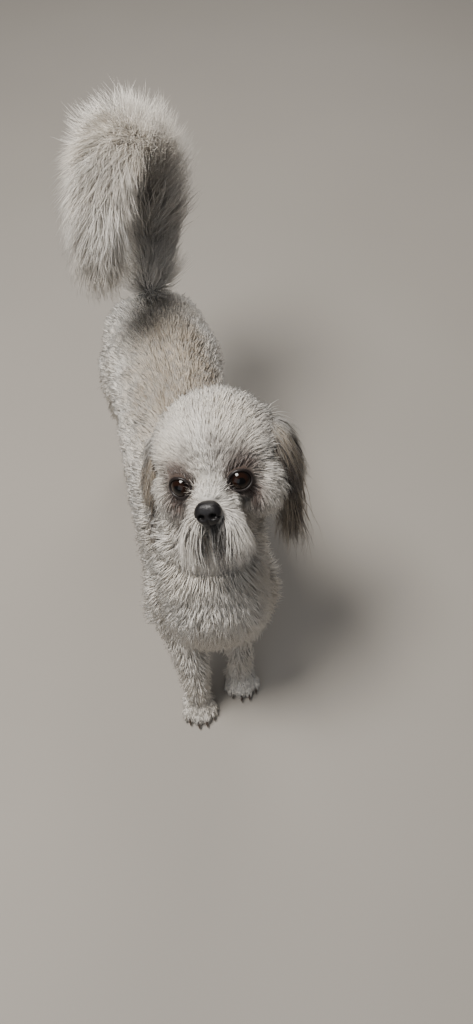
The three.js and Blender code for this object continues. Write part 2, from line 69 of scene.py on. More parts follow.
TAIL_WAY = np.array([
    (0, 392, 258), (4, 424, 312), (5, 436, 372), (-6, 420, 418),
    (-27, 384, 428), (-44, 350, 402), (-52, 330, 358),
], float)
TAIL_REACH = np.array([40, 54, 60, 58, 54, 46, 32], float)
TAIL_FLESH = np.array([15, 13, 11, 10, 9, 8, 6.0])
TRUNK_COAT = 11.0
NECK_COAT = 10.0
FORELEG_COAT = 4.5
HINDLEG_COAT = 5.5
FOOT_COAT = 3
VOXEL = 0.0021

HEAD = np.array(
    Matrix.Rotation(HEAD_TURN, 3, "Z") @ Matrix.Rotation(HEAD_RAISE, 3, "X")
    @ Matrix.Rotation(HEAD_TIP, 3, "Y")
)


def on_head(points):
    """From the head's own frame, facing -Y round the middle of the skull, to the dog's, in mm."""
    return np.asarray(points, float) @ HEAD.T + HEAD_PLACE


def from_head(directions):
    return np.asarray(directions, float) @ HEAD.T


def to_head(points):
    return (np.asarray(points, float) - HEAD_PLACE) @ HEAD


# The modelling places above start at the tip of the right forefoot. The frame's origin is
# under the middle of the box, so the left eye's box gives the way between the two.
eye_low, eye_high = (np.array(c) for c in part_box("eye_left"))
SHIFT = (eye_low + eye_high) / 2 * 1000 - on_head(EYE)


def metres(points):
    return (np.asarray(points, float) + SHIFT) / 1000


def start_fresh():
    if bpy.context.object and bpy.context.object.mode != "OBJECT":
        bpy.ops.object.mode_set(mode="OBJECT")
    bpy.ops.object.select_all(action="DESELECT")


def choose(ob):
    start_fresh()
    ob.select_set(True)
    bpy.context.view_layer.objects.active = ob


def new_sphere(name, around, rings):
    start_fresh()
    bpy.ops.mesh.primitive_uv_sphere_add(segments=around, ring_count=rings, radius=1)
    ob = bpy.context.object
    ob.name = name
    return ob


def read_points(ob):
    flat = np.empty(len(ob.data.vertices) * 3)
    ob.data.vertices.foreach_get("co", flat)
    return flat.reshape(-1, 3)


def write_points(ob, points):
    ob.data.vertices.foreach_set("co", np.ascontiguousarray(points, float).ravel())
    ob.data.update()


def along(values, u):
    """A smooth run through evenly spaced values, at shares u of its length."""
    values = np.asarray(values, float)
    last = len(values) - 1
    at = np.clip(np.asarray(u, float), 0, 1) * last
    i = np.minimum(at.astype(int), last - 1)
    t = at - i
    has_before = i > 0
    has_after = i + 2 <= last
    if values.ndim > 1:
        t, has_before, has_after = (part[..., None] for part in (t, has_before, has_after))
    a, b = values[i], values[i + 1]
    before = np.where(has_before, values[np.maximum(i - 1, 0)], 2 * a - b)
    after = np.where(has_after, values[np.minimum(i + 2, last)], 2 * b - a)
    return 0.5 * (
        2 * a + (b - before) * t + (2 * before - 5 * a + 4 * b - after) * t**2
        + (3 * a - before - 3 * b + after) * t**3
    )


def unit(vectors):
    vectors = np.asarray(vectors, float)
    return vectors / np.maximum(np.linalg.norm(vectors, axis=-1, keepdims=True), 1e-9)


def rounded_form(name, stations, around=40, rings=40, caps=(0.08, 0.08), inset=0.0, across=(1, 0, 0)):
    """A sphere drawn out along stations of (x, y, z, half width, reach over, reach under).

    The caps are the shares of the length in which the two ends round off, and the inset leaves
    room for the coat.
    """
    ob = new_sphere(name, around, rings)
    p = read_points(ob)
    stations = np.asarray(stations, float)
    u = (1 - p[:, 2]) / 2
    turn = np.arctan2(p[:, 1], p[:, 0])
    shrink = np.where(np.hypot(p[:, 0], p[:, 1]) > 1e-6, 1.0, 0.0)
    shrink = shrink * np.sqrt(np.clip(1 - np.clip(1 - u / caps[0], 0, 1) ** 2, 0, 1))
    shrink = shrink * np.sqrt(np.clip(1 - np.clip(1 - (1 - u) / caps[1], 0, 1) ** 2, 0, 1))
    way = stations[:, :3]
    centre = along(way, u)
    tangent = unit(along(way, np.clip(u + 0.01, 0, 1)) - along(way, np.clip(u - 0.01, 0, 1)))
    across = np.asarray(across, float)
    side = unit(across - tangent * (tangent @ across)[:, None])
    over = np.cross(tangent, side)
    reach = along(stations[:, 3:], u) - inset
    wide = reach[:, 0] * shrink * np.cos(turn)
    tall = np.where(np.sin(turn) > 0, reach[:, 1], reach[:, 2]) * shrink * np.sin(turn)
    p = centre + side * wide[:, None] + over * tall[:, None]
    write_points(ob, p - tangent * (inset * (2 * u - 1))[:, None])
    return ob


def ball(name, centre, size, carry=lambda p: p, around=32, rings=24):
    """An ellipsoid at its place, which carry then takes to the dog's own frame."""
    ob = new_sphere(name, around, rings)
    write_points(ob, carry(read_points(ob) * np.asarray(size, float) + np.asarray(centre, float)))
    return ob


def foreleg_stations(left):
    x, y = FOREFOOT[left]
    lean = y + FOOT_LENGTH * 0.55
    return [
        (x, lean, 8, 14, 13, 14), (x, lean + 3, 42, 14.5, 14.5, 14.5),
        (x * 0.8 + 7 * left, lean + 16, 78, 16.5, 17, 17), (35 * left, 66, 118, 20, 24, 21),
        (38 * left, 82, 160, 25, 32, 28), (38 * left, 92, 200, 22, 30, 26),
    ]


def hindleg_stations(left):
    x, y = HINDFOOT[left]
    heel = y + FOOT_LENGTH * 0.6
    return [
        (x, heel, 8, 13.5, 13, 14), (x, heel + 8, 40, 13.5, 13, 13),
        (x, heel + 14, 68, 14.5, 15, 15), (42 * left, heel + 2, 100, 18, 22, 20),
        (42 * left, 362, 140, 24, 36, 34), (41 * left, 362, 185, 28, 44, 44),
        (38 * left, 368, 222, 24, 36, 40),
    ]


def toe_place(foot, toe):
    """The two middle toes stand further forward than the outer ones."""
    behind = 15 if abs(toe) > 1 else 9
    return np.array([foot[0] + toe * FOOT_WIDTH * 0.25, foot[1] + behind, 8.5])


trunk_stations = [(0, *station) for station in TRUNK]
tail_stations = np.column_stack([TAIL_WAY, TAIL_FLESH, TAIL_FLESH, TAIL_FLESH])

forms = [
    rounded_form("trunk_form", trunk_stations, 56, 60, (0.08, 0.07), TRUNK_COAT),
    rounded_form("neck_form", NECK, 48, 36, (0.25, 0.2), NECK_COAT),
    rounded_form("tail_form", tail_stations, 20, 60, (0.04, 0.06)),
]
HEAD_BALLS = [  # place and half axes in the head's own frame
    ((0, 0, 0), (50, 48, 45)),  # skull
    ((0, -22, 12), (36, 26, 27)),  # forehead
    ((33, -14, -27), (20, 25, 24)), ((-33, -14, -27), (20, 25, 24)),  # cheeks
    ((0, -44, -32), (19, 24, 15)),  # muzzle
    ((9, -58, -39), (11, 11, 9)), ((-9, -58, -39), (11, 11, 9)),  # upper lips
    ((0, -44, -51), (14, 17, 8)),  # chin
    ((24, -36, -14), (15.0, 14.5, 14.5)), ((-24, -36, -14), (15.0, 14.5, 14.5)),  # lids
    ((0, -50, -20), (11, 18, 9)),  # bridge of the nose
]
for number, (centre, size) in enumerate(HEAD_BALLS):
    forms.append(ball(f"head_form_{number}", centre, size, on_head))
for left in (1, -1):
    foreleg, hindleg = foreleg_stations(left), hindleg_stations(left)
    forms.append(rounded_form(f"foreleg_form_{left}", foreleg, 28, 40, (0.06, 0.16), FORELEG_COAT))
    forms.append(rounded_form(f"hindleg_form_{left}", hindleg, 28, 44, (0.06, 0.14), HINDLEG_COAT))
foot_size = np.array([FOOT_WIDTH * 0.5, FOOT_LENGTH * 0.42, FOOT_HEIGHT * 0.6]) - FOOT_COAT
toe_size = (4.6, 8.5, 7.5)
for foot in (FOREFOOT[1], FOREFOOT[-1], HINDFOOT[1], HINDFOOT[-1]):
    middle = (foot[0], foot[1] + FOOT_LENGTH * 0.55, 11)
    forms.append(ball(f"foot_form_{len(forms)}", middle, foot_size, around=24, rings=16))
    for toe in TOES:
        middle = toe_place(foot, toe) + (0, 1.5, -1)
        forms.append(ball(f"toe_form_{len(forms)}", middle, toe_size, around=16, rings=12))

start_fresh()
for ob in forms:
    write_points(ob, metres(read_points(ob)))
    ob.select_set(True)
bpy.context.view_layer.objects.active = forms[0]
bpy.ops.object.join()
skin = bpy.context.object
skin.name = "skin"


def finish_with(ob, kind, **settings):
    """Adds a modifier with its settings and applies it."""
    choose(ob)
    modifier = ob.modifiers.new(kind.lower(), kind)
    for key, value in settings.items():
        setattr(modifier, key, value)
    bpy.ops.object.modifier_apply(modifier=modifier.name)


finish_with(skin, "REMESH", mode="VOXEL", voxel_size=VOXEL, use_smooth_shade=True)
finish_with(skin, "SMOOTH", factor=0.5, iterations=6)

# The soles are pressed flat on the floor, and the lids close round each eye.
SOLE = 0.4
points = read_points(skin) * 1000 - SHIFT
points[:, 2] = np.maximum(points[:, 2], SOLE)


LID_REACH = 24
LID_WIDTH = 0.5
LID_THICKNESS = 1.3
SOCKET_DEPTH = 2.2


def eye_frame(left):
    """The eye's middle, its outlook, and the ways across and up, in the head's own frame."""
    look = np.array([math.sin(EYE_OUTWARD) * left, -math.cos(EYE_OUTWARD), 0.0])
    across = np.array([math.cos(EYE_OUTWARD), math.sin(EYE_OUTWARD) * left, 0.0])
    return EYE * (left, 1, 1), look, across, np.array([0.0, 0.0, 1.0])


def lid_angle(turn):
    """How far from the outlook, in radians, the lids' edge lies all round the eye."""
    wide, high, low = np.radians([60.0, 50.0, 47.0])
    tall = np.where(np.sin(turn) > 0, high, low)
    return 1 / np.sqrt((np.cos(turn) / wide) ** 2 + (np.sin(turn) / tall) ** 2)


def round_eye(local, left):
    """Distance from the eye's middle, the way there, and the angle beyond the lids' edge."""
    centre, look, across, up = eye_frame(left)
    ray = local - centre
    far = np.linalg.norm(ray, axis=1)
    way = ray / np.maximum(far, 1e-6)[:, None]
    angle = np.arccos(np.clip(way @ look, -1, 1))
    turn = np.arctan2(way @ up, (way @ across) * left)
    return centre, far, way, angle - lid_angle(turn)


def close_lids(points):
    """Sinks the skin behind each eye and lays it close over the eye round the opening."""
    local = to_head(points)
    for left in (1, -1):
        centre, far, way, beyond = round_eye(local, left)
        fade = np.clip(beyond / LID_WIDTH, 0, 1) ** 2
        lid_far = (EYE_RADIUS + LID_THICKNESS) * (1 - fade) + far * fade
        wanted = np.where(beyond < 0, EYE_RADIUS - SOCKET_DEPTH, lid_far)
        moved = (far < LID_REACH) & (beyond < LID_WIDTH)
        local[moved] = centre + way[moved] * wanted[moved][:, None]
    return on_head(local)


write_points(skin, metres(close_lids(points)))


def linear(hex_colour):
    """An sRGB hex value such as 0xE6E0D6 as linear red, green and blue."""
    parts = np.array([(hex_colour >> s) & 255 for s in (16, 8, 0)]) / 255
    return np.where(parts <= 0.04045, parts / 12.92, ((parts + 0.055) / 1.055) ** 2.4)


WHITE = linear(0xEDE8E0)
CREAM = linear(0xD9CDBB)
SADDLE = linear(0xB3A490)
SADDLE_DARK = linear(0x8F806E)
BROW_GREY = linear(0xA8A19A)
EAR_DARK = linear(0x4A4039)
EAR_CREAM = linear(0xC4B49D)
# Dark reddish brown of the tear stains, also used for painted shade over the upper lids.
STAIN_AND_LID_SHADE = linear(0x4E3226)
LIP_DARK = linear(0x2B2523)
TAIL_GREY_AND_SHADE = linear(0xA59C92)


def patch(points, centre, size, edge=0.35):
    """1 inside a soft-edged ellipsoid and 0 outside it."""
    far = np.linalg.norm((points - np.asarray(centre, float)) / np.asarray(size, float), axis=1)
    return np.clip((1 + edge - far) / (2 * edge), 0, 1)


WAVES = 7


def blotches(points, scale, seed):
    """Soft unevenness between -1 and 1, from sine waves that run in different directions."""
    draw = np.random.default_rng(seed)
    value = np.zeros(len(points))
    for _ in range(WAVES):
        way = draw.normal(size=3)
        pace = 2 * math.pi / scale * draw.uniform(0.6, 1.6)
        value += np.sin(points @ (way / np.linalg.norm(way)) * pace + draw.uniform(0, 6.3))
    return value / WAVES


def paint(base, colour, amount):
    return base * (1 - amount[:, None]) + colour * amount[:, None]


def mixed_dark(draw, share):
    """Picks dark tufts at random, more of them where share is high."""
    return (draw.random(len(share)) < share).astype(float)


def markings_and_painted_light(points):
    """The coat's colour at places on the body, in mm, with painted shade over the upper lids and on the
    tail's left side and a painted highlight on the rump: the same for skin and hair.
    """
    wander = points + np.column_stack([blotches(points, 38, s) for s in (1, 2, 3)]) * 16
    local = to_head(wander)
    exact = to_head(points)
    colour = np.repeat(WHITE[None], len(points), axis=0)
    colour = paint(colour, CREAM, 0.45 * np.clip(0.5 + 1.2 * blotches(points, 60, 4), 0, 1))
    saddle = patch(wander, (10, 240, 268), (50, 110, 56))
    colour = paint(colour, SADDLE, 0.85 * saddle)
    colour = paint(colour, SADDLE_DARK, 0.5 * saddle * np.clip(0.4 + 1.5 * blotches(points, 26, 5), 0, 1))
    # Painted highlight: white on the rump's upper right side, towards the key light.
    colour = paint(colour, WHITE, 0.8 * patch(wander, (-34, 395, 250), (32, 44, 36)))
    # Painted shade: grey on the tail's left side, away from the key light.
    colour = paint(colour, TAIL_GREY_AND_SHADE, 0.5 * patch(wander, (22, 424, 330), (22, 30, 62)))
    in_head = (np.linalg.norm(exact / (70, 90, 75), axis=1) < 1.15).astype(float)
    for left in (1, -1):
        side = patch(local, (42 * left, -10, 14), (17, 30, 26), 0.5)
        colour = paint(colour, BROW_GREY, 0.45 * side * in_head)
        brow = patch(local, (15 * left, -42, 8), (11, 14, 15), 0.5)
        colour = paint(colour, BROW_GREY, 0.65 * brow * in_head)
        # Painted shade over each upper lid, in the tear stains' dark brown.
        upper_lid_painted_shade = patch(exact, EYE * (left, 1, 1) + (2 * left, 0, 9), (13, 14, 9), 0.5)
        colour = paint(colour, STAIN_AND_LID_SHADE, 0.75 * upper_lid_painted_shade * in_head)
        stain = patch(exact, EYE * (left, 1, 1) + (8 * left, -3, -13), (9, 14, 14), 0.5)
        colour = paint(colour, STAIN_AND_LID_SHADE, 0.9 * stain * in_head)
        rim = patch(exact, EYE * (left, 1, 1), (13.2, 14, 12.8), 0.14)
        colour = paint(colour, STAIN_AND_LID_SHADE * 0.5, 0.95 * rim * in_head)
    blaze = patch(exact, (0, -44, 12), (3.5, 20, 26), 0.5)
    colour = paint(colour, WHITE, 0.9 * blaze * in_head)
    lips = patch(exact, (0, -70, -44), (8, 9, 8), 0.4)
    return paint(colour, LIP_DARK, 0.9 * lips * in_head)


def give_colours(ob, colours):
    layer = ob.data.color_attributes.new("coat_colour", "FLOAT_COLOR", "POINT")
    rgba = np.column_stack([np.clip(colours, 0, 1), np.ones(len(colours))])
    layer.data.foreach_set("color", rgba.ravel())


def add_node(tree, kind, settings=None, **links):
    """Adds a node, sets its properties and inputs, and links sockets given as (node, output)."""
    made = tree.nodes.new(kind)
    for key, value in (settings or {}).items():
        if hasattr(made, key):
            setattr(made, key, value)
        else:
            made.inputs[key].default_value = value
    for key, (source, output) in links.items():
        tree.links.new(source.outputs[output], made.inputs[key.replace("_", " ")])
    return made


def new_material(name):
    material = bpy.data.materials.new(name)
    material.use_nodes = True
    material.node_tree.nodes.clear()
    return material, material.node_tree


def close_material(tree, shader):
    out = tree.nodes.new("ShaderNodeOutputMaterial")
    tree.links.new(shader.outputs[0], out.inputs["Surface"])


def shade(ob, material):
    ob.data.materials.clear()
    ob.data.materials.append(material)


# Dog skin: matt and slightly oily, with fine creases about a millimetre apart.
skin_material, tree = new_material("dog_skin")
colour = add_node(tree, "ShaderNodeAttribute", {"attribute_name": "coat_colour"})
place = add_node(tree, "ShaderNodeTexCoord")
creases = add_node(tree, "ShaderNodeTexNoise", {"Scale": 900.0, "Detail": 3.0}, Vector=(place, "Object"))
bump = add_node(tree, "ShaderNodeBump", {"Strength": 0.4, "Distance": 0.0004}, Height=(creases, "Fac"))
shader = add_node(
    tree, "ShaderNodeBsdfPrincipled", {"Roughness": 0.8, "Specular IOR Level": 0.25},
    Base_Color=(colour, "Color"), Normal=(bump, "Normal"),
)
close_material(tree, shader)
# Painted shade: the skin takes the coat's colours darkened, as the shade under the coat would darken it.
SKIN_PAINTED_SHADE = 0.62
give_colours(skin, markings_and_painted_light(read_points(skin) * 1000 - SHIFT) * SKIN_PAINTED_SHADE)
shade(skin, skin_material)
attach(skin, "root")
limb_parts = ("foreleg", "forepaw", "hindleg", "hindpaw")
limbs = [f"{part}_{side}" for part in limb_parts for side in SIDE.values()]
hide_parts("head", "neck", "torso", "tail_base", "tail_plume", *limbs)


# Ear leathers
# Each ear is a thin folded flap of cartilage and skin, cupped towards the head.
# It leaves the skull behind the temple and hangs beside the cheek.

EAR_OUT = {1: (61, 60, 56), -1: (64, 67, 69)}
EAR_FOLD = 5.0
EAR_HALF_WIDTH = 20


def ear_leather(left):
    out = EAR_OUT[left]
    stations = np.array([
        (44, 4, 20, 10, 2.2, 2.2), (54, 5, 11, 16, 2.0, 2.0), (out[0], 6, -9, 20, 1.8, 1.8),
        (out[1], 10, -32, 17, 1.6, 1.6), (out[2], 16, -54, 7, 1.4, 1.4),
    ]) * (left, 1, 1, 1, 1, 1)
    across = (0.25 * left, 1, 0)
    ob = rounded_form(f"ear_leather_{SIDE[left]}", stations, 32, 30, (0.12, 0.3), 0, across)
    p = read_points(ob)
    fold = 5 + 10 * np.clip(-p[:, 2] / 60, 0, 1)
    p[:, 0] -= left * EAR_FOLD * ((p[:, 1] - fold) / EAR_HALF_WIDTH) ** 2
    write_points(ob, metres(on_head(p)))
    return ob


def steady_faces(ob):
    """Cuts the faces into triangles and orders them, because a new sphere's come in any order.

    Tufts are rooted on them by number, so the order has to be the same each run.
    """
    finish_with(ob, "TRIANGULATE", quad_method="SHORTEST_DIAGONAL")
    ob.data.calc_loop_triangles()
    corners = [tuple(triangle.vertices) for triangle in ob.data.loop_triangles]
    faces = sorted(min((a, b, c), (b, c, a), (c, a, b)) for a, b, c in corners)
    points = read_points(ob).tolist()
    ob.data.clear_geometry()
    ob.data.from_pydata(points, [], faces)


ears = {}
for left in (1, -1):
    ear = ear_leather(left)
    steady_faces(ear)
    choose(ear)
    bpy.ops.object.shade_smooth()
    pale = np.clip((to_head(read_points(ear) * 1000 - SHIFT)[:, 2] - 2) / 14, 0, 1)
    dark = np.repeat((EAR_DARK * 0.8)[None], len(pale), axis=0)
    give_colours(ear, paint(dark, BROW_GREY, pale))
    shade(ear, skin_material)
    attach(ear, "root")
    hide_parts(f"ear_{SIDE[left]}")
    ears[left] = ear


# Eyes
# Large round eyes, very dark brown, under a clear wet cornea that bulges a little.

CORNEA_BULGE = 0.045
CORNEA_WIDTH = 0.5


def eyeball(left):
    centre, look, across, up = eye_frame(left)
    ob = new_sphere(f"eyeball_{SIDE[left]}", 64, 40)
    p = unit(read_points(ob))
    angle = np.arccos(np.clip(p[:, 2], -1, 1))
    bulge = 1 + CORNEA_BULGE * np.exp(-((angle / CORNEA_WIDTH) ** 2))
    p = p * bulge[:, None] * EYE_RADIUS
    axes = np.column_stack([across, up, look])
    if np.linalg.det(axes) < 0:
        axes[:, 0] *= -1
    write_points(ob, metres(on_head(p @ axes.T + centre)))
    layer = ob.data.attributes.new("from_pupil", "FLOAT", "POINT")
    layer.data.foreach_set("value", angle)
    bpy.ops.object.shade_smooth()
    return ob


# Living eye: the cornea gives a sharp highlight, the iris is nearly black towards its rim.
eye_material, tree = new_material("wet_eye")
angle = add_node(tree, "ShaderNodeAttribute", {"attribute_name": "from_pupil"})
ramp = add_node(tree, "ShaderNodeValToRGB", Fac=(angle, "Fac"))
ramp.color_ramp.elements[0].position = 0.30
ramp.color_ramp.elements[0].color = (*linear(0x050404), 1)
ramp.color_ramp.elements[1].position = 0.35
ramp.color_ramp.elements[1].color = (*linear(0x1E0F08), 1)
for where, tone in ((0.62, 0x1C0E07), (0.74, 0x080504), (0.9, 0x120A08), (0.99, 0x4A3C36)):
    stop = ramp.color_ramp.elements.new(where)
    stop.color = (*linear(tone), 1)
shader = add_node(
    tree, "ShaderNodeBsdfPrincipled", {"Roughness": 0.04, "IOR": 1.376}, Base_Color=(ramp, "Color"),
)
close_material(tree, shader)

for left in (1, -1):
    eye = eyeball(left)
    shade(eye, eye_material)
    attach(eye, "root")
    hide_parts(f"eye_{SIDE[left]}")


# Eyelid rims
# The bare black edges of the lids, moist and a little over a millimetre thick.

RIM = 1.25
RIM_RAISED = 0.55
RING = 0.25


def face_outwards(ob):
    choose(ob)
    bpy.ops.object.mode_set(mode="EDIT")
    bpy.ops.mesh.select_all(action="SELECT")
    bpy.ops.mesh.normals_make_consistent(inside=False)
    bpy.ops.object.mode_set(mode="OBJECT")
    bpy.ops.object.shade_smooth()


def lid_rim(left):
    """A ring whose section is RIM in radius, laid along the lids' edge."""
    centre, look, across, up = eye_frame(left)
    start_fresh()
    bpy.ops.mesh.primitive_torus_add(
        major_segments=72, minor_segments=12, major_radius=1, minor_radius=RING,
    )
    ob = bpy.context.object
    ob.name = f"lid_rim_{SIDE[left]}"
    p = read_points(ob)
    turn = np.arctan2(p[:, 1], p[:, 0])
    ring = np.hypot(p[:, 0], p[:, 1]) - 1
    angle = lid_angle(turn) + ring / RING * RIM / EYE_RADIUS
    far = EYE_RADIUS + RIM_RAISED + p[:, 2] / RING * RIM
    way = (
        look * np.cos(angle)[:, None] + across * left * (np.sin(angle) * np.cos(turn))[:, None]
        + up * (np.sin(angle) * np.sin(turn))[:, None]
    )
    write_points(ob, metres(on_head(centre + way * far[:, None])))
    face_outwards(ob)
    return ob


# Bare dark skin: the lids' edges, moist, with fine grain.
bare_material, tree = new_material("moist_black_skin")
place = add_node(tree, "ShaderNodeTexCoord")
grain = add_node(tree, "ShaderNodeTexNoise", {"Scale": 1400.0, "Detail": 2.0}, Vector=(place, "Object"))
tone = add_node(tree, "ShaderNodeValToRGB", Fac=(grain, "Fac"))
tone.color_ramp.elements[0].color = (*linear(0x120E0D), 1)
tone.color_ramp.elements[1].color = (*linear(0x2A2220), 1)
bump = add_node(tree, "ShaderNodeBump", {"Strength": 0.3, "Distance": 0.0002}, Height=(grain, "Fac"))
shader = add_node(
    tree, "ShaderNodeBsdfPrincipled", {"Roughness": 0.38, "IOR": 1.42},
    Base_Color=(tone, "Color"), Normal=(bump, "Normal"),
)
close_material(tree, shader)
for left in (1, -1):
    rim = lid_rim(left)
    shade(rim, bare_material)
    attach(rim, "root")


# Nose
# The nose leather: a broad rounded pad, flat in front, with a groove down its middle and
# two comma-shaped nostrils. It is black, finely pebbled and moist.

NOSE = np.array([0.0, -71.0, -29.0])
NOSE_SIZE = np.array([11.4, 8.0, 10.2])

nose = new_sphere("nose_pad", 96, 64)
p = read_points(nose)
x, y, z = p[:, 0].copy(), p[:, 1].copy(), p[:, 2].copy()
# The outline is widest above the middle, and the front is flattened.
wide = 1 - 0.22 * np.clip(-z, 0, 1) ** 1.5
front = np.clip(-y, 0, 1)
x = np.sign(x) * np.abs(x) ** 0.85 * wide
y = np.where(y < 0, -(front ** 0.55), y)
groove = 0.16 * np.exp(-((x / 0.06) ** 2)) * np.clip(0.35 - z, 0, 1) * (front > 0)
y = y + groove
for left in (1, -1):
    # Each nostril opens forwards and runs out and up into a slit at the side.
    hole = np.exp(-(((x - 0.42 * left) / 0.21) ** 2 + ((z + 0.06) / 0.2) ** 2) ** 1.3)
    slit = np.exp(-(((x - 0.74 * left) / 0.2) ** 2 + ((z + 0.26) / 0.09) ** 2))
    wing = np.exp(-(((x - 0.46 * left) / 0.42) ** 2 + ((z + 0.05) / 0.42) ** 2))
    y = y + (0.75 * hole + 0.35 * slit - 0.08 * wing) * (front > 0)
write_points(nose, metres(on_head(np.column_stack([x, y, z]) * NOSE_SIZE + NOSE)))
bpy.ops.object.shade_smooth()

# Nose leather: black pebbled skin, the pebbles about 0.7 mm across, glossy where moist.
nose_material, tree = new_material("nose_leather")
place = add_node(tree, "ShaderNodeTexCoord")
pebbles = add_node(tree, "ShaderNodeTexVoronoi", {"Scale": 1300.0}, Vector=(place, "Object"))
tone = add_node(tree, "ShaderNodeValToRGB", Fac=(pebbles, "Distance"))
tone.color_ramp.elements[0].color = (*linear(0x1A1718), 1)
tone.color_ramp.elements[1].color = (*linear(0x0C0A0B), 1)
bump = add_node(
    tree, "ShaderNodeBump", {"Strength": 0.5, "Distance": 0.0003, "invert": True},
    Height=(pebbles, "Distance"),
)
shader = add_node(
    tree, "ShaderNodeBsdfPrincipled", {"Roughness": 0.36, "IOR": 1.45},
    Base_Color=(tone, "Color"), Normal=(bump, "Normal"),
)
close_material(tree, shader)
shade(nose, nose_material)
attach(nose, "root")
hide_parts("nose")


# Claws
# Dark blunt horn, one to each toe, oval in section and curved down towards the floor.

CLAW_LENGTH = 8
CLAW_HALF_WIDTH = 1.7
CLAW_HALF_HEIGHT = 2.1
CLAW_CURVE = 0.045
CLAW_LOWEST = 0.35


def claw(foot, toe, name):
    root = toe_place(foot, toe) - (0, 5.0, 1.8)
    ob = new_sphere(name, 20, 16)
    p = read_points(ob)
    t = np.clip((1 - p[:, 1]) / 2, 0, 1)
    thick = 1 - 0.75 * t**1.4
    x = p[:, 0] * CLAW_HALF_WIDTH * thick
    y = -t * CLAW_LENGTH
    z = p[:, 2] * CLAW_HALF_HEIGHT * thick - CLAW_CURVE * y**2
    placed = np.column_stack([x, y, z]) + root
    placed[:, 2] = np.maximum(placed[:, 2], CLAW_LOWEST)
    write_points(ob, metres(placed))
    face_outwards(ob)
    return ob


# Claw horn: smooth and slightly glossy, nearly black, with faint brown streaks lengthwise.
claw_material, tree = new_material("claw_horn")
place = add_node(tree, "ShaderNodeTexCoord")
stretch = add_node(tree, "ShaderNodeMapping", {"Scale": (1500.0, 120.0, 1500.0)}, Vector=(place, "Object"))
streaks = add_node(tree, "ShaderNodeTexNoise", {"Scale": 1.0, "Detail": 2.0}, Vector=(stretch, "Vector"))
tone = add_node(tree, "ShaderNodeValToRGB", Fac=(streaks, "Fac"))
tone.color_ramp.elements[0].color = (*linear(0x1E1815), 1)
tone.color_ramp.elements[1].color = (*linear(0x54463A), 1)
bump = add_node(tree, "ShaderNodeBump", {"Strength": 0.2, "Distance": 0.0002}, Height=(streaks, "Fac"))
shader = add_node(
    tree, "ShaderNodeBsdfPrincipled", {"Roughness": 0.35, "IOR": 1.54},
    Base_Color=(tone, "Color"), Normal=(bump, "Normal"),
)
close_material(tree, shader)
for leg, feet in (("fore", FOREFOOT), ("hind", HINDFOOT)):
    for left, foot in feet.items():
        for number, toe in enumerate(TOES, 1):
            which = f"{leg}_{SIDE[left]}_{number}"
            nail = claw(foot, toe, f"nail_{which}")
            shade(nail, claw_material)
            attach(nail, "root")
            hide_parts(f"claw_{which}")


# Coat
# Soft, slightly wavy hair, clipped to about two centimetres on the body and legs, shorter
# on the face and feet, and left long on the ears, the moustache, the beard and the tail.
# Every tuft is a thin tapered solid rooted in the skin. Guides say how the coat lies.

MOST_TRIANGLES = 195000
BAKE_PATCH = 0.003
BAKE_EDGE = 0.0005
FINER = 0.74
# Painted shade along each tuft: darkest at the root, lighter towards the tip.
ROOT_PAINTED_SHADE = 0.78
TIP_PAINTED_LIGHTER = 0.28


def surface_triangles(ob):
    """Points and corners in millimetres of the dog's own frame, and the points' normals."""
    ob.data.calc_loop_triangles()
    corners = np.empty(len(ob.data.loop_triangles) * 3, np.int32)
    ob.data.loop_triangles.foreach_get("vertices", corners)
    corners = corners.reshape(-1, 3)
    points = read_points(ob) * 1000 - SHIFT
    normals = np.empty(len(ob.data.vertices) * 3)
    ob.data.vertices.foreach_get("normal", normals)
    return points, corners, normals.reshape(-1, 3)


def unwrap(ob):
    """Spreads the surface flat on a map of its own, and gives each triangle's corners on it."""
    layer = ob.data.uv_layers.new(name="spread")
    ob.data.uv_layers.active = layer
    choose(ob)
    bpy.ops.object.mode_set(mode="EDIT")
    bpy.ops.mesh.select_all(action="SELECT")
    bpy.ops.uv.smart_project(angle_limit=math.radians(66), island_margin=0.002)
    bpy.ops.object.mode_set(mode="OBJECT")
    flat = np.empty(len(ob.data.loops) * 2)
    ob.data.uv_layers["spread"].data.foreach_get("uv", flat)
    ob.data.calc_loop_triangles()
    loops = np.empty(len(ob.data.loop_triangles) * 3, np.int32)
    ob.data.loop_triangles.foreach_get("loops", loops)
    return flat.reshape(-1, 2)[loops].reshape(-1, 3, 2)


class Ground:
    """A skin that tufts grow from: its triangles, normals and spread map."""

    def __init__(self, ob):
        self.points, self.corners, self.normals = surface_triangles(ob)
        self.spread = unwrap(ob)
        a, b, c = (self.points[self.corners[:, k]] for k in range(3))
        self.area = np.linalg.norm(np.cross(b - a, c - a), axis=1) / 2
        self.middle = (a + b + c) / 3

    def roots(self, per_mm2, weight, seed):
        """Random roots: their places, the skin's normals there, and their places on the map."""
        draw = np.random.default_rng(seed)
        share = self.area * weight
        count = int(share.sum() * per_mm2)
        pick = np.searchsorted(np.cumsum(share) / share.sum(), draw.random(count))
        r1, r2 = np.sqrt(draw.random(count)), draw.random(count)
        mix = np.column_stack([1 - r1, r1 * (1 - r2), r1 * r2])
        root = np.einsum("nk,nkd->nd", mix, self.points[self.corners[pick]])
        normal = unit(np.einsum("nk,nkd->nd", mix, self.normals[self.corners[pick]]))
        return root, normal, np.einsum("nk,nkd->nd", mix, self.spread[pick])


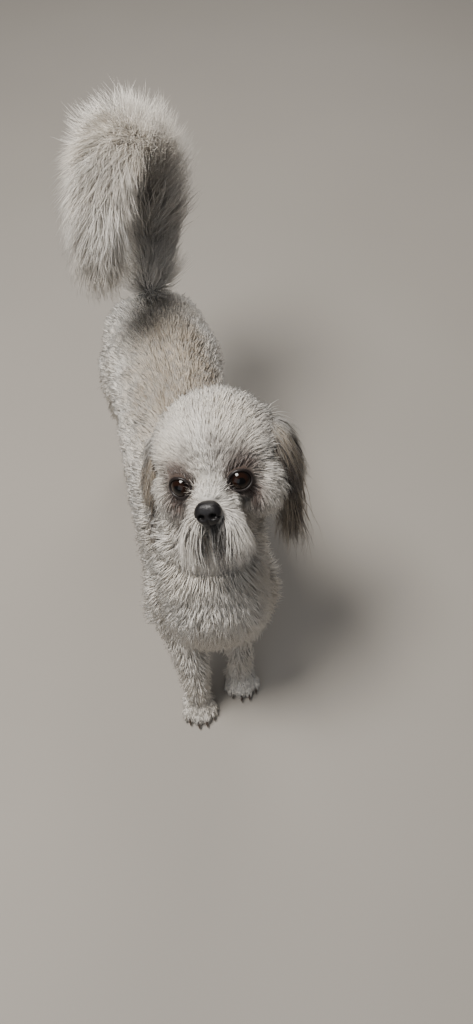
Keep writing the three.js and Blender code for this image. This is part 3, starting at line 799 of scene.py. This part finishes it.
def follow(guides, roots):
    """Blends the nearest guides: lie, length, width, lift and waviness at each root."""
    places = np.array([g[0] for g in guides], float)
    values = np.array([(*unit(g[1]), *g[2:]) for g in guides], float)
    far = np.linalg.norm(roots[:, None] - places[None], axis=2)
    # Six millimetres round a guide take its values almost whole.
    weight = 1 / (far**2 + 6**2) ** 2
    weight /= weight.sum(axis=1, keepdims=True)
    return weight @ values


def tuft_faces(rings):
    """Corners of one tuft's triangles: a three-sided prism that ends in a point."""
    sides = ((0, 1), (1, 2), (2, 0))
    faces = [(0, 2, 1)]
    for k in range(rings - 1):
        for a, b in sides:
            low, high = k * 3, k * 3 + 3
            faces += [(low + a, low + b, high + b), (low + a, high + b, high + a)]
    low = (rings - 1) * 3
    faces += [(low + a, low + b, rings * 3) for a, b in sides]
    return np.array(faces)


def nearest_leaders(roots, leaders):
    """The leader nearest to each root, which gives its tuft the way to lean."""
    tree = KDTree(len(leaders))
    for i, k in enumerate(leaders):
        tree.insert(Vector(roots[k]), i)
    tree.balance()
    return leaders[[tree.find(Vector(root))[1] for root in roots]]


def grow(
    name, found, guides, seed, rings=3, clump=0.35, per_clump=10, drop=0.25, hang=0.0, tint=None,
    sink=1.5,
):
    """Grows tufts on roots and joins them into pieces of less than 200,000 triangles.

    Short coat follows the skin. With hang at 1, the outer part of a tuft hangs the guides' way.
    """
    roots, normals, spread = found
    draw = np.random.default_rng(seed)
    n = len(roots)
    blend = follow(guides, roots)
    lie = blend[:, :3]
    fall = unit(lie)
    length = blend[:, 3] * draw.uniform(0.8, 1.18, n)
    width = blend[:, 4] * FINER * draw.uniform(0.75, 1.2, n)
    lift = blend[:, 5] + draw.normal(0, 0.07, n)
    wave = blend[:, 6]
    flat = lie - normals * np.einsum("nd,nd->n", lie, normals)[:, None]
    lie = unit(flat + draw.normal(0, 0.13, (n, 3)))

    # A tuft leaves the skin by its lift, and bends towards the skin or hangs free.
    start = unit(lie * np.cos(lift)[:, None] + normals * np.sin(lift)[:, None])
    inward = lie * 0.6 - normals * 0.25
    end = start * (1 - 0.7 * hang) + inward * (1 - hang) + fall * 1.3 * hang
    end = unit(end + np.array([0, 0, -drop]))
    leave = 0.5 - 0.2 * hang
    first = roots + start * (length * leave)[:, None]
    tip = first + end * (length * (1 - leave))[:, None]

    # Tips are drawn together towards the tips of a few leaders.
    leaders = draw.permutation(n)[: max(n // per_clump, 1)]
    nearest = nearest_leaders(roots, leaders)
    pull = clump * draw.uniform(0.6, 1.3, n)
    tip = tip + (tip[nearest] - tip) * pull[:, None]
    first = first + (first[nearest] - first) * (pull * 0.35)[:, None]

    # Rings of three points stand along a curve from below the skin to the tip.
    base = roots - normals * sink
    sway = unit(np.cross(lie, normals))
    phase = draw.uniform(0, 2 * math.pi, n)
    phase = 0.7 * phase[nearest] + 0.3 * phase
    verts = np.empty((n, rings * 3 + 1, 3))
    for k, t in enumerate(np.linspace(0, 1, rings + 1)):
        centre = base * (1 - t) ** 2 + first * 2 * t * (1 - t) + tip * t**2
        swing = wave * length * np.sin(2 * math.pi * 1.1 * t + phase) * t
        centre = centre + sway * swing[:, None] + normals * (swing * 0.35 * np.cos(phase))[:, None]
        if k == rings:
            verts[:, -1] = centre
            break
        swell = 0.75 + 0.35 * math.sin(math.pi * min(t * 1.4, 1))
        size = (width * (1 - t**2.2) * swell)[:, None]
        tangent = unit((first - base) * 2 * (1 - t) + (tip - first) * 2 * t)
        across = unit(np.cross(tangent, normals))
        out = np.cross(across, tangent)
        verts[:, k * 3] = centre - across * size / 2
        verts[:, k * 3 + 1] = centre + across * size / 2
        verts[:, k * 3 + 2] = centre + out * size * 0.45
    verts[:, :, 2] = np.maximum(verts[:, :, 2], SOLE)

    colour = markings_and_painted_light(roots) if tint is None else tint(roots, draw)
    colour = colour * draw.normal(1, 0.07, (n, 1)).clip(0.8, 1.2)
    faces = tuft_faces(rings)
    most = MOST_TRIANGLES // len(faces)
    for part, low in enumerate(range(0, n, most), 1):
        some = slice(low, min(low + most, n))
        join_tufts(f"{name}_{part}", verts[some], faces, colour[some], spread[some], rings)


def join_tufts(name, verts, faces, colour, spread, rings):
    """Makes one piece of the coat from many tufts that share their faces."""
    count, each = verts.shape[:2]
    mesh = bpy.data.meshes.new(name)
    mesh.vertices.add(count * each)
    mesh.vertices.foreach_set("co", metres(verts.reshape(-1, 3)).ravel())
    corners = (faces[None] + np.arange(count)[:, None, None] * each).reshape(-1)
    mesh.loops.add(len(corners))
    mesh.loops.foreach_set("vertex_index", corners.astype(np.int32))
    mesh.polygons.add(len(corners) // 3)
    mesh.polygons.foreach_set("loop_start", np.arange(0, len(corners), 3, dtype=np.int32))
    mesh.polygons.foreach_set("use_smooth", np.ones(len(corners) // 3, bool))
    mesh.update(calc_edges=True)
    # On the bake's map each tuft is a small patch, at its root's place on the skin's spread.
    layer = mesh.uv_layers.new(name="OFBake")
    turn = np.arange(each) * 2 * math.pi / each
    small = np.column_stack([np.cos(turn), np.sin(turn)]) * BAKE_PATCH / 2
    on_map = spread[corners // each] + small[corners % each]
    layer.data.foreach_set("uv", on_map.clip(BAKE_EDGE, 1 - BAKE_EDGE).ravel())
    ob = bpy.data.objects.new(name, mesh)
    bpy.context.scene.collection.objects.link(ob)
    # Painted shade: each tuft is darker towards its root and lighter at its tip, as the shade deep in the
    # coat would make it.
    height = np.minimum(np.arange(each) // 3, rings) / rings
    shading = ROOT_PAINTED_SHADE + TIP_PAINTED_LIGHTER * height
    give_colours(ob, (colour[:, None] * shading[None, :, None]).reshape(-1, 3))
    shade(ob, hair_material)
    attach(ob, "root")


# Dog hair: soft keratin, with a broad gentle gloss, and pale at the edges where it is fluffy.
hair_material, tree = new_material("dog_hair")
colour = add_node(tree, "ShaderNodeAttribute", {"attribute_name": "coat_colour"})
place = add_node(tree, "ShaderNodeTexCoord")
strands = add_node(tree, "ShaderNodeTexNoise", {"Scale": 1600.0, "Detail": 2.0}, Vector=(place, "Object"))
tone = add_node(tree, "ShaderNodeMapRange", {"To Min": 0.86, "To Max": 1.1}, Value=(strands, "Fac"))
mixed = add_node(
    tree, "ShaderNodeVectorMath", {"operation": "SCALE"}, Vector=(colour, "Color"), Scale=(tone, "Result"),
)
gloss = {"Roughness": 0.6, "IOR": 1.5, "Specular IOR Level": 0.25}
down = {"Sheen Weight": 0.25, "Sheen Roughness": 0.5}
shader = add_node(tree, "ShaderNodeBsdfPrincipled", gloss | down, Base_Color=(mixed, "Vector"))
close_material(tree, shader)

ground = Ground(skin)
middle = ground.middle
head_middle = to_head(middle)
tail_line = along(TAIL_WAY, np.linspace(0, 1, 60))
to_tail = np.min(np.linalg.norm(middle[:, None] - tail_line[None, ::3], axis=2), axis=1)
is_tail = (to_tail < 24) & (middle[:, 2] > 266)
is_head = (np.linalg.norm(head_middle / (62, 84, 66), axis=1) < 1.0) & (head_middle[:, 2] > -62) & ~is_tail
is_leg = (middle[:, 2] < 118) & ~is_head
is_foot = middle[:, 2] < 26
is_sole = middle[:, 2] < 2.2
is_trunk = ~(is_tail | is_head | is_leg)

# Guides: place, lie, length, width, lift in radians, waviness.
body_guides = []
for y in (30, 80, 140, 205, 280, 350, 405):
    for side in (-1, 1):
        body_guides += [
            ((side * 62, y, 190), (0, 0.9, -0.55), 21, 2.0, 0.36, 0.09),
            ((side * 40, y, 255), (side * 0.35, 1, -0.15), 21, 2.0, 0.32, 0.09),
            ((side * 50, y, 130), (0, 0.6, -0.8), 22, 2.0, 0.36, 0.1),
        ]
    body_guides += [
        ((0, y, 275), (0, 1, 0.05), 20, 1.9, 0.3, 0.08),
        ((0, y, 105), (0, 0.5, -0.8), 18, 2.1, 0.5, 0.06),
    ]
for side in (-1, 0, 1):
    for z in (120, 150, 180, 215):
        body_guides.append(((side * 34, 12 + 8 * abs(side), z), (side * 0.1, -0.05, -1), 25, 1.8, 0.5, 0.1))
for side in (-1, 0, 1):
    for z, length, lift in ((232, 28, 0.55), (246, 27, 0.5), (268, 21, 0.3), (290, 17, 0.25)):
        body_guides.append(((side * 30 + 8, 56, z), (side * 0.15, -0.4, -0.9), length, 1.7, lift, 0.07))
body_guides += [
    ((0, 430, 240), (0, 0.4, -0.9), 22, 2.1, 0.5, 0.07),
    ((0, 430, 200), (0, 0.2, -1), 22, 2.1, 0.5, 0.07),
]
for side in (-1, 1):
    for z in (235, 265, 295):
        body_guides.append(((side * 50 + 6, 112, z), (side * 0.1, 0.45, -0.9), 27, 2.0, 0.5, 0.09))
    body_guides += [
        ((side * 46 + 8, 80, 238), (side * 0.3, 0.1, -0.9), 28, 2.0, 0.55, 0.09),
        ((side * 48, 45, 165), (side * 0.3, 0.35, -0.9), 26, 2.2, 0.7, 0.13),
        ((side * 52, 70, 150), (side * 0.2, 0.6, -0.8), 26, 2.2, 0.65, 0.13),
    ]

leg_guides = []
for left in (1, -1):
    for stations in (foreleg_stations(left), hindleg_stations(left)):
        for x, y, z, wide, *_ in stations[1:5]:
            for turn in range(4):
                out = np.array([math.cos(turn * math.pi / 2), math.sin(turn * math.pi / 2), 0])
                behind = max(out[1], 0)
                # The coat is longer higher up and at the back of the leg.
                length = 13 + 0.07 * z + 7 * behind
                lie = out * 0.12 + (0, 0.05 + 0.25 * behind, -1)
                leg_guides.append(((x, y, z) + out * wide, lie, length, 1.7, 0.35, 0.06))
for foot in (*FOREFOOT.values(), *HINDFOOT.values()):
    x, y = foot
    leg_guides += [
        ((x, y + 6, 12), (0, -0.8, -0.6), 6.5, 1.1, 0.35, 0.02),
        ((x, y + 24, 25), (0, -0.85, -0.45), 9, 1.3, 0.35, 0.03),
    ]
    for side in (-1, 1):
        leg_guides.append(((x + side * 17, y + 22, 12), (side * 0.15, -0.6, -0.75), 8, 1.3, 0.3, 0.03))
    leg_guides.append(((x, y + 44, 14), (0, 0.3, -0.95), 10, 1.4, 0.3, 0.03))


def head_guide(place, lie, length, width, lift, wave):
    """A guide given in the head's own frame. Longer hair sags towards the floor."""
    sag = np.clip((length - 12) / 45, 0, 0.6)
    way = unit(from_head([unit(lie)])[0] + np.array([0, 0, -1]) * sag)
    return on_head([place])[0], way, length, width, lift, wave


face = [
    ((0, -66, -20), (0, 0.35, 0.95), 6, 0.8, 0.45, 0.02), ((0, -52, -8), (0, 0.3, 1), 9, 0.9, 0.5, 0.03),
    ((0, -46, 10), (0, 0.4, 0.95), 15, 1.2, 0.5, 0.05), ((0, -30, 34), (0, 0.75, 0.6), 19, 1.5, 0.45, 0.06),
    ((0, 0, 46), (0, 1, 0.05), 20, 1.7, 0.4, 0.07), ((0, 35, 30), (0, 0.8, -0.6), 21, 1.8, 0.4, 0.08),
    ((0, 48, 0), (0, 0.3, -1), 22, 1.9, 0.4, 0.08),
]
for left in (1, -1):
    face += [
        ((14 * left, -52, -4), (0.35 * left, 0.3, 0.85), 9, 0.9, 0.5, 0.03),
        ((26 * left, -44, 6), (0.35 * left, 0.45, 0.8), 11, 1.0, 0.45, 0.04),
        ((26 * left, -36, 24), (0.45 * left, 0.6, 0.6), 17, 1.4, 0.45, 0.06),
        ((40 * left, -28, 8), (0.45 * left, 0.75, 0.1), 16, 1.3, 0.45, 0.06),
        ((44 * left, 5, 25), (0.4 * left, 0.7, -0.4), 20, 1.7, 0.4, 0.08),
        ((50 * left, 20, -5), (0.2 * left, 0.4, -0.9), 22, 1.8, 0.45, 0.08),
        ((44 * left, -30, -12), (0.6 * left, 0.5, -0.6), 13, 1.1, 0.5, 0.05),
        ((26 * left, -50, -30), (0.5 * left, 0.1, -0.85), 9, 0.9, 0.45, 0.04),
        ((14 * left, -60, -22), (0.75 * left, 0.2, 0.1), 6.5, 0.8, 0.5, 0.02),
        ((46 * left, -18, -35), (0.05 * left - 0.15, 0.25, -0.95), 22, 1.4, 0.3, 0.08),
        ((34 * left, -38, -42), (0.1 * left - 0.15, 0.15, -0.95), 20, 1.2, 0.3, 0.07),
        ((20 * left, -62, -40), (0.4 * left, -0.1, -0.9), 20, 1.0, 0.5, 0.07),
        ((9 * left, -69, -42), (0.3 * left, -0.3, -0.9), 15, 0.9, 0.5, 0.06),
        ((12 * left, -50, -58), (0.3 * left, -0.2, -1), 22, 1.2, 0.5, 0.07),
        ((38 * left, 5, -50), (0.1 * left, 0.3, -1), 24, 1.7, 0.45, 0.08),
    ]
face += [
    ((0, -60, -56), (0, -0.3, -1), 24, 1.1, 0.4, 0.06),
    ((0, -25, -60), (0, 0.5, -0.85), 16, 1.4, 0.25, 0.05),
]
head_guides = [head_guide(*g) for g in face]

all_guides = body_guides + leg_guides + head_guides


BARE_REACH = 16
BARE_EDGE = 0.13


def near_eye(points):
    """True on the lids' edges and inside them, where no hair grows."""
    local = to_head(points)
    found = np.zeros(len(points), bool)
    for left in (1, -1):
        _, far, _, beyond = round_eye(local, left)
        found |= (far < BARE_REACH) & (beyond < BARE_EDGE)
    return found


TRUNK_PER_MM2 = 0.31
LEG_PER_MM2 = 0.31
HEAD_PER_MM2 = 0.41
FOOT_DENSER = 1.7
FACE_DENSER = 1.7

bare = near_eye(middle) | (np.linalg.norm((head_middle - NOSE) / (NOSE_SIZE + 1.2), axis=1) < 1)
hairy = ~bare & ~is_sole
trunk_roots = ground.roots(TRUNK_PER_MM2, (is_trunk & hairy).astype(float), 101)
grow("coat_trunk", trunk_roots, all_guides, 201, rings=2, clump=0.4, per_clump=14)
leg_roots = ground.roots(LEG_PER_MM2, (is_leg & hairy) * np.where(is_foot, FOOT_DENSER, 1.0), 102)
grow("coat_legs", leg_roots, all_guides, 202, rings=2, clump=0.35, per_clump=10, drop=0.15)
face_weight = np.where(head_middle[:, 1] < -25, FACE_DENSER, 1.0)
head_roots = ground.roots(HEAD_PER_MM2, (is_head & hairy) * face_weight, 103)
grow("coat_head", head_roots, all_guides, 203, rings=3, clump=0.3, per_clump=9, drop=0.15)


# Moustache and beard
# Longer soft hair that leaves the muzzle and chin and hangs in rounded puffs and a short tuft.

LIP_PER_MM2 = 1.7
CHIN_PER_MM2 = 3.0
STREAK_MIDDLE = 2


def lip_tint(roots, draw):
    """Dark hair in a streak under the nose, mixed with white, and white puffs beside it."""
    local = to_head(roots)
    side = np.abs(local[:, 0] - STREAK_MIDDLE + 1.5 * np.sin(local[:, 2] / 3))
    share = np.clip(2.1 - side / 6.8, 0.02, 1.0)
    dark = mixed_dark(draw, share)
    colour = paint(np.repeat(WHITE[None], len(roots), axis=0), CREAM, np.full(len(roots), 0.2))
    return paint(colour, LIP_DARK * 1.1, 0.95 * dark)


def chin_tint(roots, draw):
    dark = mixed_dark(draw, np.full(len(roots), 0.22))
    colour = np.repeat(WHITE[None], len(roots), axis=0)
    return paint(colour, STAIN_AND_LID_SHADE * 1.6, 0.8 * dark)


puff = [((0, -70, -42), (0.12, -0.2, -1), 48, 0.9, 0.18, 0.04)]
for left in (1, -1):
    inward, reach = (-0.05, 53) if left < 0 else (-0.1, 46)
    puff += [
        ((6 * left, -70, -40), (0.1, -0.2, -1), 50, 0.9, 0.2, 0.05),
        ((12 * left, -67, -38), (0.04 + 0.5 * inward, -0.15, -1), reach + 3, 1.0, 0.25, 0.06),
        ((19 * left, -60, -36), (inward, 0.0, -1), reach, 1.1, 0.25, 0.07),
        ((21 * left, -50, -42), (inward, 0.1, -1), reach - 10, 1.1, 0.22, 0.08),
    ]
puff_guides = [head_guide(*g) for g in puff]
on_lip = (head_middle[:, 1] < -44) & (head_middle[:, 2] < -30) & (head_middle[:, 2] > -50)
lip_roots = ground.roots(LIP_PER_MM2, (is_head & hairy & on_lip).astype(float), 104)
grow("moustache", lip_roots, puff_guides, 204,
     rings=5, clump=0.4, per_clump=14, drop=0, hang=1, tint=lip_tint)

beard_guides = [head_guide(*g) for g in [
    ((0, -60, -56), (0.04, -0.4, -1), 48, 1.2, 0.2, 0.05),
    ((12, -52, -56), (0.05, -0.35, -1), 44, 1.2, 0.2, 0.07),
    ((-12, -52, -56), (0.0, -0.35, -1), 44, 1.2, 0.2, 0.07),
]]
on_chin = (head_middle[:, 2] < -47) & (head_middle[:, 1] < -38) & (np.abs(head_middle[:, 0]) < 16)
chin_roots = ground.roots(CHIN_PER_MM2, (is_head & hairy & on_chin).astype(float), 105)
grow("beard", chin_roots, beard_guides, 205,
     rings=5, clump=0.5, per_clump=14, drop=0, hang=1, tint=chin_tint)


# Ear hair
# Long straight hair that hangs from both faces of the leather, dark with cream streaks.

EAR_PER_MM2 = 0.62
EAR_LEAN = {1: -0.2, -1: -0.38}
EAR_LENGTH = {1: 82, -1: 74}


def ear_tint(roots, draw):
    local = to_head(roots)
    streak = np.clip(0.35 + 2.4 * blotches(local * (1, 1, 0.25), 17, 9), 0, 1)
    dark = np.repeat(EAR_DARK[None], len(roots), axis=0)
    colour = paint(dark, EAR_CREAM, 0.75 * streak)
    root_pale = np.clip((local[:, 2] - 6) / 16, 0, 1)
    return paint(colour, WHITE * 0.8, 0.85 * root_pale)


for left in (1, -1):
    ear_ground = Ground(ears[left])
    lean = EAR_LEAN[left]
    guides = [head_guide(*g) for g in [
        ((54 * left, 5, 16), (lean, 0.15, -1), 32, 1.0, 0.06, 0.04),
        ((62 * left, 5, -8), (lean, 0.2, -1), 50, 1.1, 0.14, 0.06),
        ((62 * left, -14, -10), (lean, 0.0, -1), 46, 1.1, 0.16, 0.07),
        ((62 * left, 24, -10), (lean, 0.4, -1), 46, 1.1, 0.16, 0.07),
        ((62 * left, 14, -40), (lean, 0.15, -1), EAR_LENGTH[left], 1.1, 0.12, 0.07),
    ]]
    all_over = np.ones(len(ear_ground.area))
    grow(f"ear_hair_{SIDE[left]}", ear_ground.roots(EAR_PER_MM2, all_over, 106), guides, 206 + left,
         rings=4, clump=0.5, per_clump=16, drop=0.1, hang=0.6, tint=ear_tint, sink=0.8)


# Tail plume
# Long soft hair that leaves the tail all round, leans towards its tip and sags a little.
# A shorter layer stands up under it.

PLUME_PER_MM2 = 0.46
UNDER_PER_MM2 = 0.4
UNDER_SHARE = 0.45
UNDER_LIFT = 1.15
CLOSE_END = 0.16  # shares of the tail's length, from its root
FAN_END = 0.4
BEND = 0.55

tail_guides = []
for u in np.linspace(0.02, 1, 14):
    at = along(TAIL_WAY, np.array([u]))[0]
    ahead = min(u + 0.02, 1)
    onward = unit(along(TAIL_WAY, np.array([ahead])) - along(TAIL_WAY, np.array([ahead - 0.04])))[0]
    reach = along(TAIL_REACH, np.array([u]))[0]
    side = unit(np.array([1, 0, 0]) - onward * onward[0])
    over = np.cross(onward, side)
    # Hair lies close at the root, fans out above it, and lies close over the bend.
    fan = np.clip(1 - u / FAN_END, 0, 1) ** 0.7 * np.clip(u / CLOSE_END, 0, 1)
    for turn in range(6):
        radial = side * math.cos(turn * math.pi / 3) + over * math.sin(turn * math.pi / 3)
        outside = np.clip(radial[2], 0, 1) * math.exp(-(((u - BEND) / 0.18) ** 2))
        sideways = side * math.cos(turn * math.pi / 3)
        lie = onward * (1 - 0.5 * fan) + sideways * fan + np.array([0, 0, -0.25])
        lift = 0.7 - 0.35 * outside - 0.4 * np.clip(1 - u / CLOSE_END, 0, 1)
        tail_guides.append((at + radial * 9, lie, reach * 0.95 + 10 + 14 * fan, 1.4, lift, 0.07))


def tail_tint(roots, draw):
    colour = markings_and_painted_light(roots)
    streak = np.clip(0.2 + 1.6 * blotches(roots * (1, 0.4, 0.4), 16, 12), 0, 1)
    return paint(colour, TAIL_GREY_AND_SHADE, 0.3 * streak)


# The bend shows the tail from outside, so the hair is denser there.
to_line = np.linalg.norm(middle[:, None] - tail_line[None], axis=2)
way_share = np.argmin(to_line, axis=1) / (len(tail_line) - 1)
bend = np.exp(-(((way_share - 0.5) / 0.16) ** 2))
plume_roots = ground.roots(PLUME_PER_MM2, is_tail * (1 + 0.7 * bend), 107)
grow("tail_plume_hair", plume_roots, tail_guides, 207,
     rings=4, clump=0.45, per_clump=18, drop=0.4, tint=tail_tint)

# The shorter layer hides the skin between the long hair.
under_guides = [
    (place, lie, length * UNDER_SHARE, width, UNDER_LIFT, wave)
    for place, lie, length, width, _, wave in tail_guides
]
under_roots = ground.roots(UNDER_PER_MM2, is_tail * (1 + 0.9 * bend), 108)
grow("tail_under_hair", under_roots, under_guides, 208,
     rings=2, clump=0.3, per_clump=12, drop=0.2, tint=tail_tint)

# The spread maps only gave the tufts their places on the bake's map.
skin.data.uv_layers.remove(skin.data.uv_layers["spread"])
for ear in ears.values():
    ear.data.uv_layers.remove(ear.data.uv_layers["spread"])


# Floor, light and camera
# A plain pale floor, soft studio light, and a camera held in front of the dog, looking down.

CAMERA_PLACE = (-73.8, -364.0, 928.0)
CAMERA_DOWN = math.radians(55.1)
CAMERA_TURN = math.radians(-12.6)
FOCAL_PIXELS = 900.0
PHOTO_HEIGHT = 1024

start_fresh()
bpy.ops.mesh.primitive_plane_add(size=8, location=(0, 0, 0))
floor = bpy.context.object
floor.name = "studio_floor"
floor_material, tree = new_material("pale_floor")
place = add_node(tree, "ShaderNodeTexCoord")
mottle = add_node(tree, "ShaderNodeTexNoise", {"Scale": 3.0}, Vector=(place, "Object"))
tone = add_node(tree, "ShaderNodeValToRGB", Fac=(mottle, "Fac"))
tone.color_ramp.elements[0].color = (*linear(0x938D85), 1)
tone.color_ramp.elements[1].color = (*linear(0x9B958D), 1)
shader = add_node(tree, "ShaderNodeBsdfPrincipled", {"Roughness": 0.7}, Base_Color=(tone, "Color"))
close_material(tree, shader)
shade(floor, floor_material)

world = bpy.data.worlds.new("studio")
world.use_nodes = True
world.node_tree.nodes["Background"].inputs["Color"].default_value = (0.9, 0.93, 1.0, 1)
world.node_tree.nodes["Background"].inputs["Strength"].default_value = 0.17
bpy.context.scene.world = world

for name, place, size, power, tint in (
    ("key_light", (-0.6, -0.15, 1.85), 0.6, 52.0, (1.0, 0.97, 0.92)),
    ("fill_light", (-0.9, -1.3, 1.0), 1.3, 5.0, (0.93, 0.96, 1.0)),
    ("back_light", (0.5, 1.2, 1.4), 0.8, 10.0, (1.0, 0.98, 0.95)),
):
    lamp = bpy.data.lights.new(name, "AREA")
    lamp.size = size
    lamp.energy = power
    lamp.color = tint
    light = bpy.data.objects.new(name, lamp)
    light.location = place
    light.rotation_euler = (Vector((0, 0, 0.2)) - Vector(place)).to_track_quat("-Z", "Y").to_euler()
    bpy.context.scene.collection.objects.link(light)

camera_data = bpy.data.cameras.new("camera")
camera_data.sensor_width = 36
camera_data.lens = FOCAL_PIXELS / PHOTO_HEIGHT * camera_data.sensor_width
camera = bpy.data.objects.new("camera", camera_data)
camera.location = metres([CAMERA_PLACE])[0]
camera.rotation_euler = Euler((math.pi / 2 - CAMERA_DOWN, 0, CAMERA_TURN))
bpy.context.scene.collection.objects.link(camera)
bpy.context.scene.camera = camera
